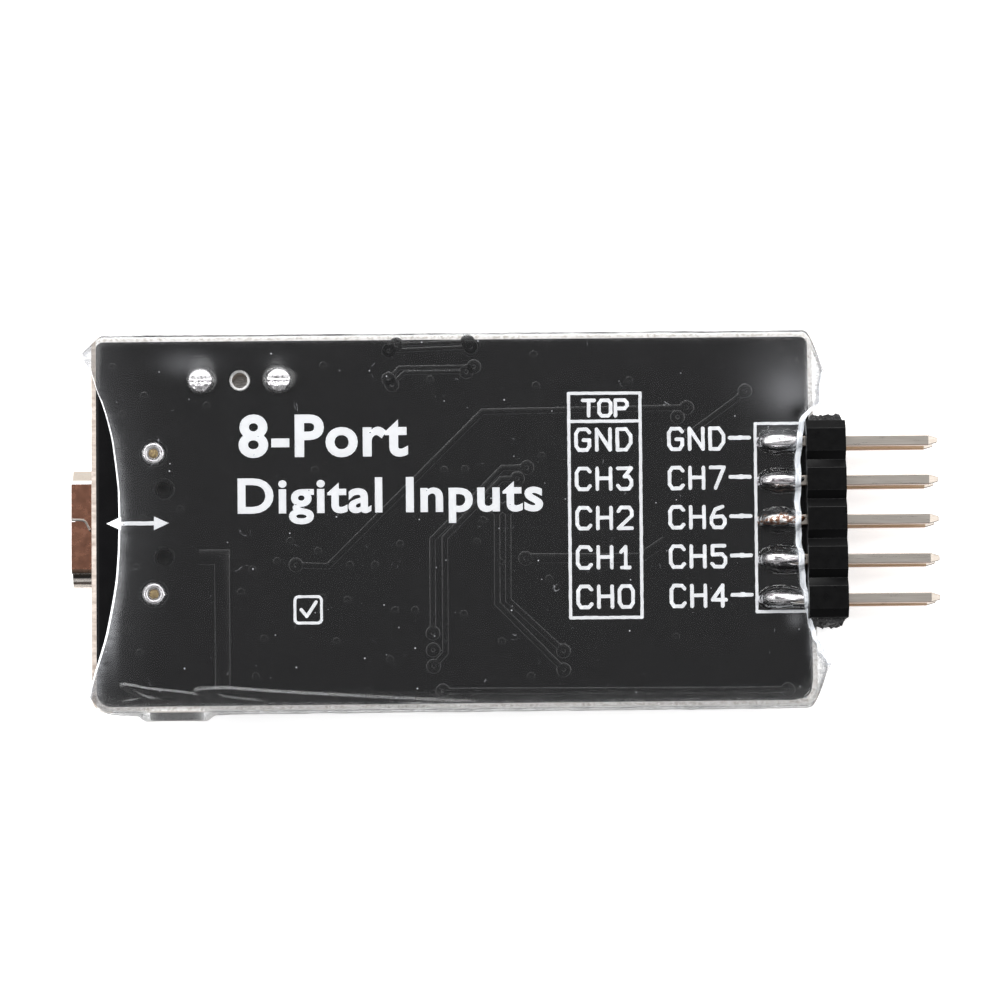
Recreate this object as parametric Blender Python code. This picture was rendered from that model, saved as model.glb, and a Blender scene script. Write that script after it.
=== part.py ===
"""USB logic analyzer module: a small two-sided circuit board in a clear heat-shrink sleeve, with a mini-USB
socket at one end and a dual-row pin header straddling the other.

Lengths below are millimetres. X runs along the board from the USB socket to the pin header, Y across it, and
Z up through the label side. The origin is the centre of the sleeve's flat outer face over the label side, so
the board hangs below Z = 0 and its components stand on its underside.
"""

import math

import bmesh
import bpy
from mathutils import Matrix, Vector

MM = 0.001

# Sleeve. An end's dip is how far the film's edge is drawn back in the middle of a face, and its bend is the
# power of that arc. A tent's slope is how fast the film comes back to the board beside a part it hangs over.
FILM_WALL = 0.20
FILM_GAP = 0.05
LEFT_END = -23.75
LEFT_DIP = 2.2
LEFT_FAR_DIP = 3.0
LEFT_BEND = 2.2
RIGHT_END = 24.3
RIGHT_DIP = 2.1
RIGHT_FAR_DIP = 2.3
RIGHT_BEND = 3.0
TENT_SLOPE = 0.42
TENT_MARGIN = 0.7
ACROSS_COUNT = 19  # strips in half the film's width

# Circuit board
BOARD_LENGTH = 46.5
BOARD_WIDTH = 24.1
BOARD_THICKNESS = 1.6
BOARD_CORNER = 0.8
BOARD_TOP = -(FILM_WALL + FILM_GAP)
BOARD_BOTTOM = BOARD_TOP - BOARD_THICKNESS
BOARD_MIDDLE = (BOARD_TOP + BOARD_BOTTOM) / 2
SEAT = 0.02  # air between the board and what stands on it
CLEAR = 0.02  # air round a piece held in a hole

# Mini-USB socket: its own frame starts at the mouth and stands on the component side
USB_MOUTH_X = -24.65
USB_LENGTH = 9.2
USB_WALL = 0.3
USB_NARROW_HALF = 3.0
USB_WIDE_HALF = 3.78
USB_HEIGHT = 3.9
USB_STEP = (1.15, 1.95)  # heights where the side starts and stops leaning out
USB_PEG_X = 6.05
USB_PEG_Y = 2.2
USB_PEG_RADIUS = 0.45
USB_STAKE_X = 5.38
USB_STAKE_Y = 4.53
CONTACT_PITCH = 0.8
CONTACT_WIDTH = 0.4
CONTACT_HEIGHT = 1.53  # of a contact's lower face above the board
CONTACT_THICKNESS = 0.2

# Pin header
PITCH = 2.54
POSITIONS = 5
HEADER_BACK_X = 22.65
HEADER_Y = -0.2
HEADER_DEPTH = 2.54
HEADER_FLAT_HALF = 0.72
HEADER_NOTCH = 0.4
PIN_SIDE = 0.64
PIN_START_X = 19.85
PIN_END_X = 31.2
PIN_TIP = 0.6
GROOVE_CLEAR = 0.05

# Crystal
CRYSTAL_CENTRE = (-13.7, 9.2)
CRYSTAL_BASE = (11.05, 4.65)
CRYSTAL_CAN = (10.3, 3.9)
CRYSTAL_HEIGHT = 3.5
CRYSTAL_WALL = 0.25
LEAD_PITCH = 4.88
LEAD_RADIUS = 0.215
LEAD_STICKOUT = 0.6
JOINT_RADIUS = 0.8

# Push switch: its own frame starts at the board's long edge, with the plunger pointing out along +Y
SWITCH_X = -17.95
SWITCH_HALF = 2.45
SWITCH_DEPTH = 3.35
SWITCH_SETBACK = 0.35
SWITCH_HEIGHT = 2.27
PLUNGER_HALF = 1.72
PLUNGER_HEIGHTS = (0.48, 1.92)
PLUNGER_PROUD = 0.45
COVER_WALL = 0.15

ROUND_STEPS = 24


def clear_scene():
    for item in list(bpy.data.objects):
        bpy.data.objects.remove(item)


def material(name, colour, roughness, metallic=0.0):
    made = bpy.data.materials.new(name)
    made.use_nodes = True
    shader = made.node_tree.nodes["Principled BSDF"]
    shader.inputs["Base Color"].default_value = (*colour, 1.0)
    shader.inputs["Roughness"].default_value = roughness
    shader.inputs["Metallic"].default_value = metallic
    return made


def frame(name, location, parent=None, flipped=False):
    """An empty that sub-parts are placed from. A flipped one stands on the board's underside."""
    empty = bpy.data.objects.new(name, None)
    bpy.context.scene.collection.objects.link(empty)
    empty.location = Vector(location) * MM
    empty.rotation_euler = (math.pi if flipped else 0.0, 0.0, 0.0)
    empty.parent = parent
    return empty


def finish(name, shape, finish_material, parent, location=(0, 0, 0), smooth=False):
    """Turns a bmesh in millimetres into a named object under its frame."""
    bmesh.ops.recalc_face_normals(shape, faces=shape.faces)
    bmesh.ops.scale(shape, vec=(MM, MM, MM), verts=shape.verts)
    mesh = bpy.data.meshes.new(name)
    shape.to_mesh(mesh)
    shape.free()
    mesh.materials.append(finish_material)
    if smooth:
        mesh.shade_smooth()
        mesh.set_sharp_from_angle(angle=math.radians(35))
    made = bpy.data.objects.new(name, mesh)
    bpy.context.scene.collection.objects.link(made)
    made.parent = parent
    made.location = Vector(location) * MM
    return made


def add_box(shape, low, high):
    corners = bmesh.ops.create_cube(shape, size=1.0)["verts"]
    low, high = Vector(low), Vector(high)
    for corner in corners:
        corner.co = (low + high) / 2 + corner.co * (high - low)


def add_prism(shape, outline, axis, start, end):
    """Extrudes a closed outline along X, Y or Z. The outline holds the two other coordinates in order."""
    def place(point, along):
        rest = list(point)
        rest.insert("xyz".index(axis), along)
        return shape.verts.new(rest)

    near = [place(point, start) for point in outline]
    far = [place(point, end) for point in outline]
    count = len(outline)
    shape.faces.new(near)
    shape.faces.new(far[::-1])
    for i in range(count):
        j = (i + 1) % count
        shape.faces.new((near[i], far[i], far[j], near[j]))


def add_rod(shape, centre, radius, length, axis="z", steps=ROUND_STEPS):
    """A round bar centred on a point."""
    about = {"x": "Y", "y": "X", "z": "Z"}[axis]
    angle = 0.0 if axis == "z" else math.pi / 2
    made = bmesh.ops.create_cone(
        shape, cap_ends=True, segments=steps, radius1=radius, radius2=radius, depth=length
    )["verts"]
    bmesh.ops.rotate(shape, verts=made, matrix=Matrix.Rotation(angle, 3, about))
    bmesh.ops.translate(shape, verts=made, vec=Vector(centre))


def add_turned(shape, profile, centre, steps=ROUND_STEPS):
    """Turns a closed (radius, height) profile about Z."""
    rings = []
    for i in range(steps):
        angle = 2 * math.pi * i / steps
        rings.append([
            shape.verts.new((centre[0] + r * math.cos(angle), centre[1] + r * math.sin(angle), centre[2] + h))
            for r, h in profile
        ])
    for i in range(steps):
        ring, after = rings[i], rings[(i + 1) % steps]
        for j in range(len(profile)):
            k = (j + 1) % len(profile)
            shape.faces.new((ring[j], after[j], after[k], ring[k]))


def rounded_rectangle(width, height, radius, steps=6):
    """A closed outline round the origin, counter-clockwise."""
    points = []
    for turn, (sx, sy) in enumerate(((1, 1), (-1, 1), (-1, -1), (1, -1))):
        centre = (sx * (width / 2 - radius), sy * (height / 2 - radius))
        for i in range(steps + 1):
            angle = math.pi / 2 * (turn + i / steps)
            points.append((centre[0] + radius * math.cos(angle), centre[1] + radius * math.sin(angle)))
    return points


def inset(outline, distance):
    """Moves each side of a counter-clockwise outline inwards."""
    made = []
    count = len(outline)
    for i in range(count):
        before, here, after = (Vector(outline[(i + k) % count]) for k in (-1, 0, 1))
        into = (here - before).normalized()
        out = (after - here).normalized()
        bisector = (Vector((-into.y, into.x)) + Vector((-out.y, out.x))).normalized()
        reach = distance / max(bisector.dot(Vector((-into.y, into.x))), 0.3)
        made.append(tuple(here + bisector * reach))
    return made


def helper(name, shape, parent=None):
    """A cutter or an addition for a Boolean, which is no part itself."""
    made = finish(name, shape, bpy.data.materials[0], parent)
    made.hide_render = True
    made.display_type = "WIRE"
    return made


def combine(target, other, operation):
    modifier = target.modifiers.new(f"{operation.lower()}_{other.name}", "BOOLEAN")
    modifier.operation = operation
    modifier.object = other
    modifier.solver = "EXACT"


def cut(target, cutter):
    combine(target, cutter, "DIFFERENCE")


def join(target, addition):
    combine(target, addition, "UNION")


def row(index, count, pitch):
    """Place of one item in an evenly spaced row centred on zero."""
    return (index - (count - 1) / 2) * pitch


# ---------------------------------------------------------------- circuit board


def circuit_board(parent, looks):
    shape = bmesh.new()
    outline = rounded_rectangle(BOARD_LENGTH, BOARD_WIDTH, BOARD_CORNER)
    add_prism(shape, outline, "z", BOARD_BOTTOM, BOARD_TOP)
    board = finish("circuit_board", shape, looks["board"], parent)

    holes = bmesh.new()
    through = BOARD_THICKNESS * 2
    crystal_x, crystal_y = CRYSTAL_CENTRE
    stake_x = USB_MOUTH_X + USB_STAKE_X
    peg_x = USB_MOUTH_X + USB_PEG_X
    for place, radius in (
        ((crystal_x - LEAD_PITCH / 2, crystal_y), 0.4),
        ((crystal_x, crystal_y), 0.5),
        ((crystal_x + LEAD_PITCH / 2, crystal_y), 0.4),
        ((stake_x, USB_STAKE_Y), 0.45),
        ((stake_x, -USB_STAKE_Y), 0.45),
        ((peg_x, USB_PEG_Y), 0.5),
        ((peg_x, -USB_PEG_Y), 0.5),
    ):
        add_rod(holes, (*place, BOARD_MIDDLE), radius, through)
    cut(board, helper("board_holes", holes, parent))


# ---------------------------------------------------------------- mini-USB socket


def usb_outline(inwards=0.0):
    """The shell's outline across the socket: narrow against the board, wide away from it."""
    low, high = USB_STEP
    lip = 0.25
    right = [
        (USB_NARROW_HALF - lip, 0),
        (USB_NARROW_HALF, lip),
        (USB_NARROW_HALF, low),
        (USB_WIDE_HALF, high),
        (USB_WIDE_HALF, USB_HEIGHT - lip),
        (USB_WIDE_HALF - lip, USB_HEIGHT),
    ]
    outline = right + [(-y, z) for y, z in reversed(right)]
    return inset(outline, inwards) if inwards else outline


def add_shell_tube(shape, start, end):
    outer, inner = usb_outline(), usb_outline(USB_WALL)
    loops = [
        [shape.verts.new((x, y, z)) for y, z in outline]
        for x in (start, end)
        for outline in (outer, inner)
    ]
    near_outer, near_inner, far_outer, far_inner = loops
    count = len(outer)
    for i in range(count):
        j = (i + 1) % count
        shape.faces.new((near_outer[i], near_outer[j], far_outer[j], far_outer[i]))
        shape.faces.new((near_inner[j], near_inner[i], far_inner[i], far_inner[j]))
        shape.faces.new((near_outer[j], near_outer[i], near_inner[i], near_inner[j]))
        shape.faces.new((far_outer[i], far_outer[j], far_inner[j], far_inner[i]))


def usb_shell(parent, looks):
    shape = bmesh.new()
    add_shell_tube(shape, 0, USB_LENGTH)
    shell = finish("usb_shell", shape, looks["plated_steel"], parent)

    feet = bmesh.new()
    wall, bite = USB_WALL, 0.2
    for side in (-1, 1):
        inner, outer = USB_NARROW_HALF - bite, USB_STAKE_Y + bite
        for start, end in ((USB_STAKE_X - 0.6, USB_STAKE_X + 0.6), (8.0, 9.0)):
            low, high = sorted((side * inner, side * outer))
            add_box(feet, (start, low, 0), (end, high, wall))
    join(shell, helper("usb_feet", feet, parent))

    stakes = bmesh.new()
    for side in (-1, 1):
        y = side * USB_STAKE_Y
        add_box(stakes, (USB_STAKE_X - 0.2, y - 0.2, -1.3), (USB_STAKE_X + 0.2, y + 0.19, wall / 2))
    join(shell, helper("usb_stakes", stakes, parent))

    rear = bmesh.new()
    side = USB_WIDE_HALF - wall / 2
    add_box(rear, (USB_LENGTH - wall, -side, 2.1), (USB_LENGTH - 0.001, side, USB_HEIGHT - wall / 2))
    join(shell, helper("usb_rear_wall", rear, parent))

    openings = bmesh.new()
    for side in (-1, 1):
        add_rod(openings, (USB_PEG_X, side * USB_PEG_Y, 0), USB_PEG_RADIUS + 0.08, 1.0)
    seam = 0.035
    add_box(openings, (-0.5, -seam, -0.5), (USB_LENGTH + 0.5, seam, wall + 0.1))
    cut(shell, helper("usb_shell_openings", openings, parent))

    springs = bmesh.new()
    slot, start, end, half = 0.15, 1.6, 4.2, 0.55
    for side in (-1, 1):
        arm = [(start, half), (end, half), (end, half + slot), (start - slot, half + slot)]
        outline = arm + [(x, -y) for x, y in reversed(arm)]
        add_prism(springs, [(x, y + side * 1.9) for x, y in outline], "z", USB_HEIGHT - 0.7, USB_HEIGHT + 0.6)
    cut(shell, helper("usb_spring_slots", springs, parent))


def usb_insulator(parent, looks):
    shape = bmesh.new()
    add_prism(shape, usb_outline(USB_WALL + CLEAR * 2), "x", 5.3, USB_LENGTH - USB_WALL - CLEAR * 2)
    insulator = finish("usb_insulator", shape, looks["dark_plastic"], parent)

    tongue = bmesh.new()
    add_box(tongue, (0.9, -2.0, CONTACT_HEIGHT + CONTACT_THICKNESS + CLEAR), (5.5, 2.0, 2.5))
    join(insulator, helper("usb_tongue", tongue, parent))

    pegs = bmesh.new()
    for side in (-1, 1):
        add_rod(pegs, (USB_PEG_X, side * USB_PEG_Y, -0.15), USB_PEG_RADIUS, 1.5)
    join(insulator, helper("usb_pegs", pegs, parent))

    channels = bmesh.new()
    half = CONTACT_WIDTH / 2 + CLEAR
    low, high = CONTACT_HEIGHT - CLEAR, CONTACT_HEIGHT + CONTACT_THICKNESS + CLEAR
    for i in range(5):
        y = row(i, 5, CONTACT_PITCH)
        add_box(channels, (5.0, y - half, low), (USB_LENGTH, y + half, high))
    cut(insulator, helper("usb_channels", channels, parent))


def usb_contact(index, parent, looks):
    """A strip that lies along the tongue, runs out of the back and folds down to the board."""
    low, high = CONTACT_HEIGHT, CONTACT_HEIGHT + CONTACT_THICKNESS
    bend, foot, thick = 9.5, 10.5, CONTACT_THICKNESS
    outline = [
        (1.2, low),
        (bend, low),
        (bend, 0),
        (foot, 0),
        (foot, thick),
        (bend + thick, thick),
        (bend + thick, high),
        (1.2, high),
    ]
    shape = bmesh.new()
    y = row(index, 5, CONTACT_PITCH)
    add_prism(shape, outline, "y", -CONTACT_WIDTH / 2, CONTACT_WIDTH / 2)
    finish(f"usb_contact_{index + 1}", shape, looks["gold"], parent, location=(0, y, 0))


def usb_stake_solder(side, parent, looks):
    """A low ring of solder round each plated stake hole, on the label side."""
    profile = [(0.3, 0), (0.3, 0.06), (0.42, 0.14), (0.6, 0.15), (0.74, 0.09), (0.8, 0)]
    shape = bmesh.new()
    add_turned(shape, profile, (0, 0, 0))
    name = "usb_stake_solder_left" if side > 0 else "usb_stake_solder_right"
    place = (USB_MOUTH_X + USB_STAKE_X, side * USB_STAKE_Y, SEAT)
    finish(name, shape, looks["solder"], parent, location=place, smooth=True)


# ---------------------------------------------------------------- pin header


def header_housing(parent, looks):
    """Five positions side by side, notched between them on both broad faces."""
    half_height = PITCH
    top = []
    for i in range(POSITIONS):
        y = row(i, POSITIONS, PITCH)
        top += [
            (y - PITCH / 2, half_height - HEADER_NOTCH),
            (y - HEADER_FLAT_HALF, half_height),
            (y + HEADER_FLAT_HALF, half_height),
        ]
    top.append((row(POSITIONS - 1, POSITIONS, PITCH) + PITCH / 2, half_height - HEADER_NOTCH))
    outline = [(y, -z) for y, z in top] + top[::-1]
    shape = bmesh.new()
    add_prism(shape, outline, "x", 0, HEADER_DEPTH)
    housing = finish("header_housing", shape, looks["black_plastic"], parent)

    stubs = bmesh.new()
    end = POSITIONS * PITCH / 2
    for side in (-1, 1):
        tip = [(0.25, end - 0.3), (2.3, end - 0.3), (2.3, end + 0.22), (1.4, end + 0.4), (0.5, end + 0.15)]
        add_prism(stubs, [(x, side * y) for x, y in tip], "z", -1.9, 1.9)
    join(housing, helper("header_stubs", stubs, parent))

    holes = bmesh.new()
    half = PIN_SIDE / 2 + CLEAR
    for i in range(POSITIONS):
        y = row(i, POSITIONS, PITCH)
        for z in (-PITCH / 2, PITCH / 2):
            add_box(holes, (-1, y - half, z - half), (HEADER_DEPTH + 1, y + half, z + half))
    cut(housing, helper("header_holes", holes, parent))

    groove = bmesh.new()
    depth = BOARD_LENGTH / 2 - HEADER_BACK_X + GROOVE_CLEAR
    half = BOARD_THICKNESS / 2 + CLEAR * 2
    add_box(groove, (-1, -8, -half), (depth, 8, half))
    cut(housing, helper("header_groove", groove, parent))


def header_pin(name, y, z, parent, looks):
    shape = bmesh.new()
    start, end = PIN_START_X - HEADER_BACK_X, PIN_END_X - HEADER_BACK_X
    sections = ((start, 0.24), (start + 0.2, 0.32), (end - PIN_TIP, 0.32), (end, 0.15))
    rings = []
    for x, half in sections:
        corners = ((-half, -half), (half, -half), (half, half), (-half, half))
        rings.append([shape.verts.new((x, a, b)) for a, b in corners])
    for ring, after in zip(rings, rings[1:], strict=False):
        for i in range(4):
            j = (i + 1) % 4
            shape.faces.new((ring[i], ring[j], after[j], after[i]))
    shape.faces.new(rings[0])
    shape.faces.new(rings[-1][::-1])
    finish(name, shape, looks["gold"], parent, location=(0, y, z))


def header_solder(name, y, side, parent, looks):
    """A drop of solder that grips one pin's tail on its pad."""
    half_length, half_width, height = 1.3, 0.72, 0.98
    centre_x = 20.83 - HEADER_BACK_X
    around, up = 16, 5
    shape = bmesh.new()
    rings = []
    for j in range(up):
        lift = math.pi / 2 * j / up
        reach, z = math.cos(lift), height * math.sin(lift)
        rings.append([
            shape.verts.new((
                half_length * reach * math.cos(2 * math.pi * i / around),
                half_width * reach * math.sin(2 * math.pi * i / around),
                z,
            ))
            for i in range(around)
        ])
    apex = shape.verts.new((0, 0, height))
    shape.faces.new(rings[0][::-1])
    for ring, after in zip(rings, rings[1:], strict=False):
        for i in range(around):
            k = (i + 1) % around
            shape.faces.new((ring[i], ring[k], after[k], after[i]))
    for i in range(around):
        shape.faces.new((rings[-1][i], rings[-1][(i + 1) % around], apex))
    bmesh.ops.scale(shape, vec=(1, 1, side), verts=shape.verts)
    surface = side * (BOARD_THICKNESS / 2 + SEAT)
    drop = finish(name, shape, looks["solder"], parent, location=(centre_x, y, surface), smooth=True)

    tail = bmesh.new()
    half = PIN_SIDE / 2 + CLEAR
    z = side * PITCH / 2
    add_box(tail, (PIN_START_X - HEADER_BACK_X - CLEAR, y - half, z - half), (0.5, y + half, z + half))
    cut(drop, helper(f"{name}_tail", tail, parent))


def pin_header(parent, looks):
    own = frame("pin_header_frame", (HEADER_BACK_X, HEADER_Y, BOARD_MIDDLE), parent)
    header_housing(own, looks)
    for i in range(POSITIONS):
        y = -row(i, POSITIONS, PITCH)
        for side, word in ((1, "upper"), (-1, "lower")):
            header_pin(f"header_pin_{word}_{i + 1}", y, side * PITCH / 2, own, looks)
            header_solder(f"header_solder_{word}_{i + 1}", y, side, own, looks)


# ---------------------------------------------------------------- crystal


def crystal(components, labels, looks):
    x, y = CRYSTAL_CENTRE
    own = frame("crystal_frame", (x, -y, 0), components)
    base_width, base_depth = CRYSTAL_BASE
    can_width, can_depth = CRYSTAL_CAN
    rim = 0.5

    shape = bmesh.new()
    add_prism(shape, rounded_rectangle(base_width, base_depth, base_depth / 2 - 0.01), "z", 0.05, rim)
    base = finish("crystal_base", shape, looks["plated_steel"], own)
    holes = bmesh.new()
    for side in (-1, 1):
        add_rod(holes, (side * LEAD_PITCH / 2, 0, 0), LEAD_RADIUS + 0.05, 3, steps=16)
    cut(base, helper("crystal_base_holes", holes, own))

    shape = bmesh.new()
    outline = rounded_rectangle(can_width, can_depth, can_depth / 2 - 0.01)
    add_prism(shape, outline, "z", rim + CLEAR, CRYSTAL_HEIGHT)
    can = finish("crystal_can", shape, looks["plated_steel"], own, smooth=True)
    hollow = bmesh.new()
    inner_depth = can_depth - 2 * CRYSTAL_WALL
    inner = rounded_rectangle(can_width - 2 * CRYSTAL_WALL, inner_depth, inner_depth / 2 - 0.01)
    add_prism(hollow, inner, "z", 0, CRYSTAL_HEIGHT - CRYSTAL_WALL)
    cut(can, helper("crystal_can_hollow", hollow, own))

    shape = bmesh.new()
    add_rod(shape, (0, 0, 0), 1.1, 0.1, axis="y")
    finish("crystal_quartz", shape, looks["quartz"], own, location=(0, 0, 2.0), smooth=True)

    inside, outside = 1.3, BOARD_THICKNESS + SEAT + LEAD_STICKOUT
    for side, word in ((-1, "left"), (1, "right")):
        shape = bmesh.new()
        add_rod(shape, (0, 0, (inside - outside) / 2), LEAD_RADIUS, inside + outside, steps=12)
        place = (side * LEAD_PITCH / 2, 0, 0)
        finish(f"crystal_lead_{word}", shape, looks["solder"], own, location=place, smooth=True)

        bore = LEAD_RADIUS + CLEAR
        profile = [(bore, 0), (bore, 0.58), (0.45, 0.52), (0.64, 0.36), (0.75, 0.18), (JOINT_RADIUS, 0)]
        shape = bmesh.new()
        add_turned(shape, profile, (0, 0, 0))
        place = (x + side * LEAD_PITCH / 2, y, SEAT)
        finish(f"crystal_solder_{word}", shape, looks["solder"], labels, location=place, smooth=True)


# ---------------------------------------------------------------- push switch


def push_switch(components, looks):
    """A side-push tactile switch: the plunger presses a snap dome at the back of its housing."""
    own = frame("push_switch_frame", (SWITCH_X, BOARD_WIDTH / 2, 0), components)
    back = -(SWITCH_SETBACK + SWITCH_DEPTH)
    front = -SWITCH_SETBACK - COVER_WALL - CLEAR
    top = SWITCH_HEIGHT - COVER_WALL - CLEAR
    low, high = PLUNGER_HEIGHTS

    shape = bmesh.new()
    add_box(shape, (-SWITCH_HALF, back, 0), (SWITCH_HALF, front, top))
    housing = finish("switch_housing", shape, looks["black_plastic"], own)
    cavity = bmesh.new()
    add_box(cavity, (-2.05, back + 0.6, 0.3), (2.05, front + 1, top + 1))
    cut(housing, helper("switch_cavity", cavity, own))

    shape = bmesh.new()
    add_prism(
        shape,
        [
            (back, SWITCH_HEIGHT - COVER_WALL),
            (-SWITCH_SETBACK - COVER_WALL, SWITCH_HEIGHT - COVER_WALL),
            (-SWITCH_SETBACK - COVER_WALL, 0.02),
            (-SWITCH_SETBACK, 0.02),
            (-SWITCH_SETBACK, SWITCH_HEIGHT),
            (back, SWITCH_HEIGHT),
        ],
        "x",
        -SWITCH_HALF,
        SWITCH_HALF,
    )
    cover = finish("switch_cover", shape, looks["plated_steel"], own)
    window = bmesh.new()
    add_box(window, (-PLUNGER_HALF - 0.06, -1, low - 0.06), (PLUNGER_HALF + 0.06, 0, high + 0.06))
    cut(cover, helper("switch_window", window, own))

    middle = (low + high) / 2
    shape = bmesh.new()
    half = (high - low) / 2
    flange_front = front - 0.05
    add_box(shape, (-PLUNGER_HALF, flange_front - 0.3, -half), (PLUNGER_HALF, PLUNGER_PROUD, half))
    plunger = finish("switch_plunger", shape, looks["black_plastic"], own, location=(0, 0, middle))
    bevel = plunger.modifiers.new("soft_edges", "BEVEL")
    bevel.width = 0.12 * MM
    bevel.segments = 2
    flange = bmesh.new()
    flange_back = flange_front - 0.45
    add_box(flange, (-1.98, flange_back, middle - half - 0.1), (1.98, flange_front, middle + half + 0.1))
    join(plunger, helper("switch_flange", flange, own))
    nub = bmesh.new()
    nub_start, nub_end = flange_front - 0.3, -2.4
    nub_centre = (0, (nub_start + nub_end) / 2, middle)
    add_rod(nub, nub_centre, 0.35, nub_start - nub_end, axis="y", steps=16)
    join(plunger, helper("switch_nub", nub, own))

    # The dome bulges towards the plunger and springs back flat against the rear wall.
    shape = bmesh.new()
    rise, rim, wall = 0.3, 0.78, 0.07
    front_side = [(rim * k / 4, rise * (1 - (k / 4) ** 2)) for k in range(1, 5)]
    profile = [*front_side, *[(r, h - wall) for r, h in reversed(front_side)]]
    add_turned(shape, profile, (0, 0, 0), steps=16)
    bmesh.ops.holes_fill(shape, edges=[e for e in shape.edges if e.is_boundary])
    tip = nub_end - 0.03 - rise
    bmesh.ops.rotate(shape, verts=shape.verts, matrix=Matrix.Rotation(-math.pi / 2, 3, "X"))
    finish("switch_dome", shape, looks["plated_steel"], own, location=(0, tip, middle), smooth=True)

    for side, word in ((-1, "left"), (1, "right")):
        near, far = SWITCH_HALF + CLEAR, SWITCH_HALF + 0.85
        outline = [(near, 0), (far, 0), (far, 0.15), (near + 0.15, 0.15), (near + 0.15, 1.0), (near, 1.0)]
        shape = bmesh.new()
        add_prism(shape, [(side * a, b) for a, b in outline], "y", -2.7, -1.7)
        finish(f"switch_terminal_{word}", shape, looks["tin"], own)


# ---------------------------------------------------------------- surface-mounted parts


def package(name, at, size, leads, reach, parent, looks, lead_thickness=0.15):
    """A moulded chip with gull-wing leads. Leads are (side, place along Y, width)."""
    own = frame(f"{name}_frame", (at[0], -at[1], 0), parent)
    width, length, height = size
    draft = 0.06 * height
    waist = 0.1 + (height - 0.1) / 2
    shape = bmesh.new()
    rings = []
    for z, shrink in ((0.1, draft), (waist, 0), (height, draft)):
        a, b = width / 2 - shrink, length / 2 - shrink
        rings.append([shape.verts.new((x, y, z)) for x, y in ((-a, -b), (a, -b), (a, b), (-a, b))])
    for ring, after in zip(rings, rings[1:], strict=False):
        for i in range(4):
            j = (i + 1) % 4
            shape.faces.new((ring[i], ring[j], after[j], after[i]))
    shape.faces.new(rings[0][::-1])
    shape.faces.new(rings[-1])
    chip = finish(name, shape, looks["chip"], own)

    legs = bmesh.new()
    thick = lead_thickness
    inner, shoulder = width / 2 - 0.3, width / 2 + (reach - width / 2) * 0.35
    knee = width / 2 + (reach - width / 2) * 0.55
    outline = [
        (inner, waist + thick / 2),
        (shoulder, waist + thick / 2),
        (knee + thick, thick),
        (reach, thick),
        (reach, 0),
        (knee, 0),
        (shoulder - thick, waist - thick / 2),
        (inner, waist - thick / 2),
    ]
    for side, y, lead_width in leads:
        add_prism(legs, [(side * x, z) for x, z in outline], "y", y - lead_width / 2, y + lead_width / 2)
    join(chip, helper(f"{name}_leads", legs, own))


def two_rows(count, pitch, lead_width):
    return [(side, row(i, count, pitch), lead_width) for side in (-1, 1) for i in range(count)]


def chip_part(name, at, size, cap, along, parent, looks, look):
    """A two-terminal part whose plated end caps stand a little proud of its body."""
    own = frame(f"{name}_frame", (at[0], -at[1], 0), parent)
    length, width, height = size
    end, step = length / 2, 0.03
    outline = [
        (-end, 0), (-end + cap, 0), (-end + cap, step), (end - cap, step), (end - cap, 0), (end, 0),
        (end, height), (end - cap, height), (end - cap, height - step),
        (-end + cap, height - step), (-end + cap, height), (-end, height),
    ]
    shape = bmesh.new()
    if along == "x":
        add_prism(shape, outline, "y", -width / 2, width / 2)
    else:
        add_prism(shape, outline, "x", -width / 2, width / 2)
    finish(name, shape, looks[look], own)


def led(name, at, parent, looks):
    """Base with end caps below, clear lens above."""
    own = frame(f"{name}_frame", (at[0], -at[1], 0), parent)
    right = [(1.0, 0), (1.0, 0.35), (0.72, 0.35), (0.6, 0.8)]
    outline = right + [(-x, z) for x, z in reversed(right)]
    shape = bmesh.new()
    add_prism(shape, outline, "y", -0.62, 0.62)
    finish(name, shape, looks["led"], own)


def resistor_array(name, at, parent, looks):
    """Four resistors in one body, seen as a comb of eight terminals."""
    own = frame(f"{name}_frame", (at[0], -at[1], 0), parent)
    half_length, half_width, notch, step = 1.6, 0.8, 0.22, 0.8
    right = []
    for i in range(4):
        y = row(i, 4, step)
        right += [(half_width, y - 0.22), (half_width, y + 0.22)]
        if i < 3:
            right += [(half_width - notch, y + 0.26), (half_width - notch, y + step - 0.26)]
    outline = [(half_width, -half_length), *right[1:-1], (half_width, half_length)]
    outline += [(-x, -y) for x, y in outline]
    shape = bmesh.new()
    add_prism(shape, outline, "z", 0, 0.55)
    finish(name, shape, looks["resistor"], own)


def tantalum(name, at, parent, looks):
    """Moulded block with a terminal folded under each end."""
    own = frame(f"{name}_frame", (at[0], -at[1], 0), parent)
    outline = [
        (-1.75, 0), (-1.0, 0), (-1.0, 0.12), (1.0, 0.12), (1.0, 0), (1.75, 0),
        (1.75, 0.9), (1.6, 0.9), (1.52, 1.9), (-1.52, 1.9), (-1.6, 0.9), (-1.75, 0.9),
    ]
    shape = bmesh.new()
    add_prism(shape, outline, "y", -1.4, 1.4)
    finish(name, shape, looks["tantalum"], own)


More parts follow.
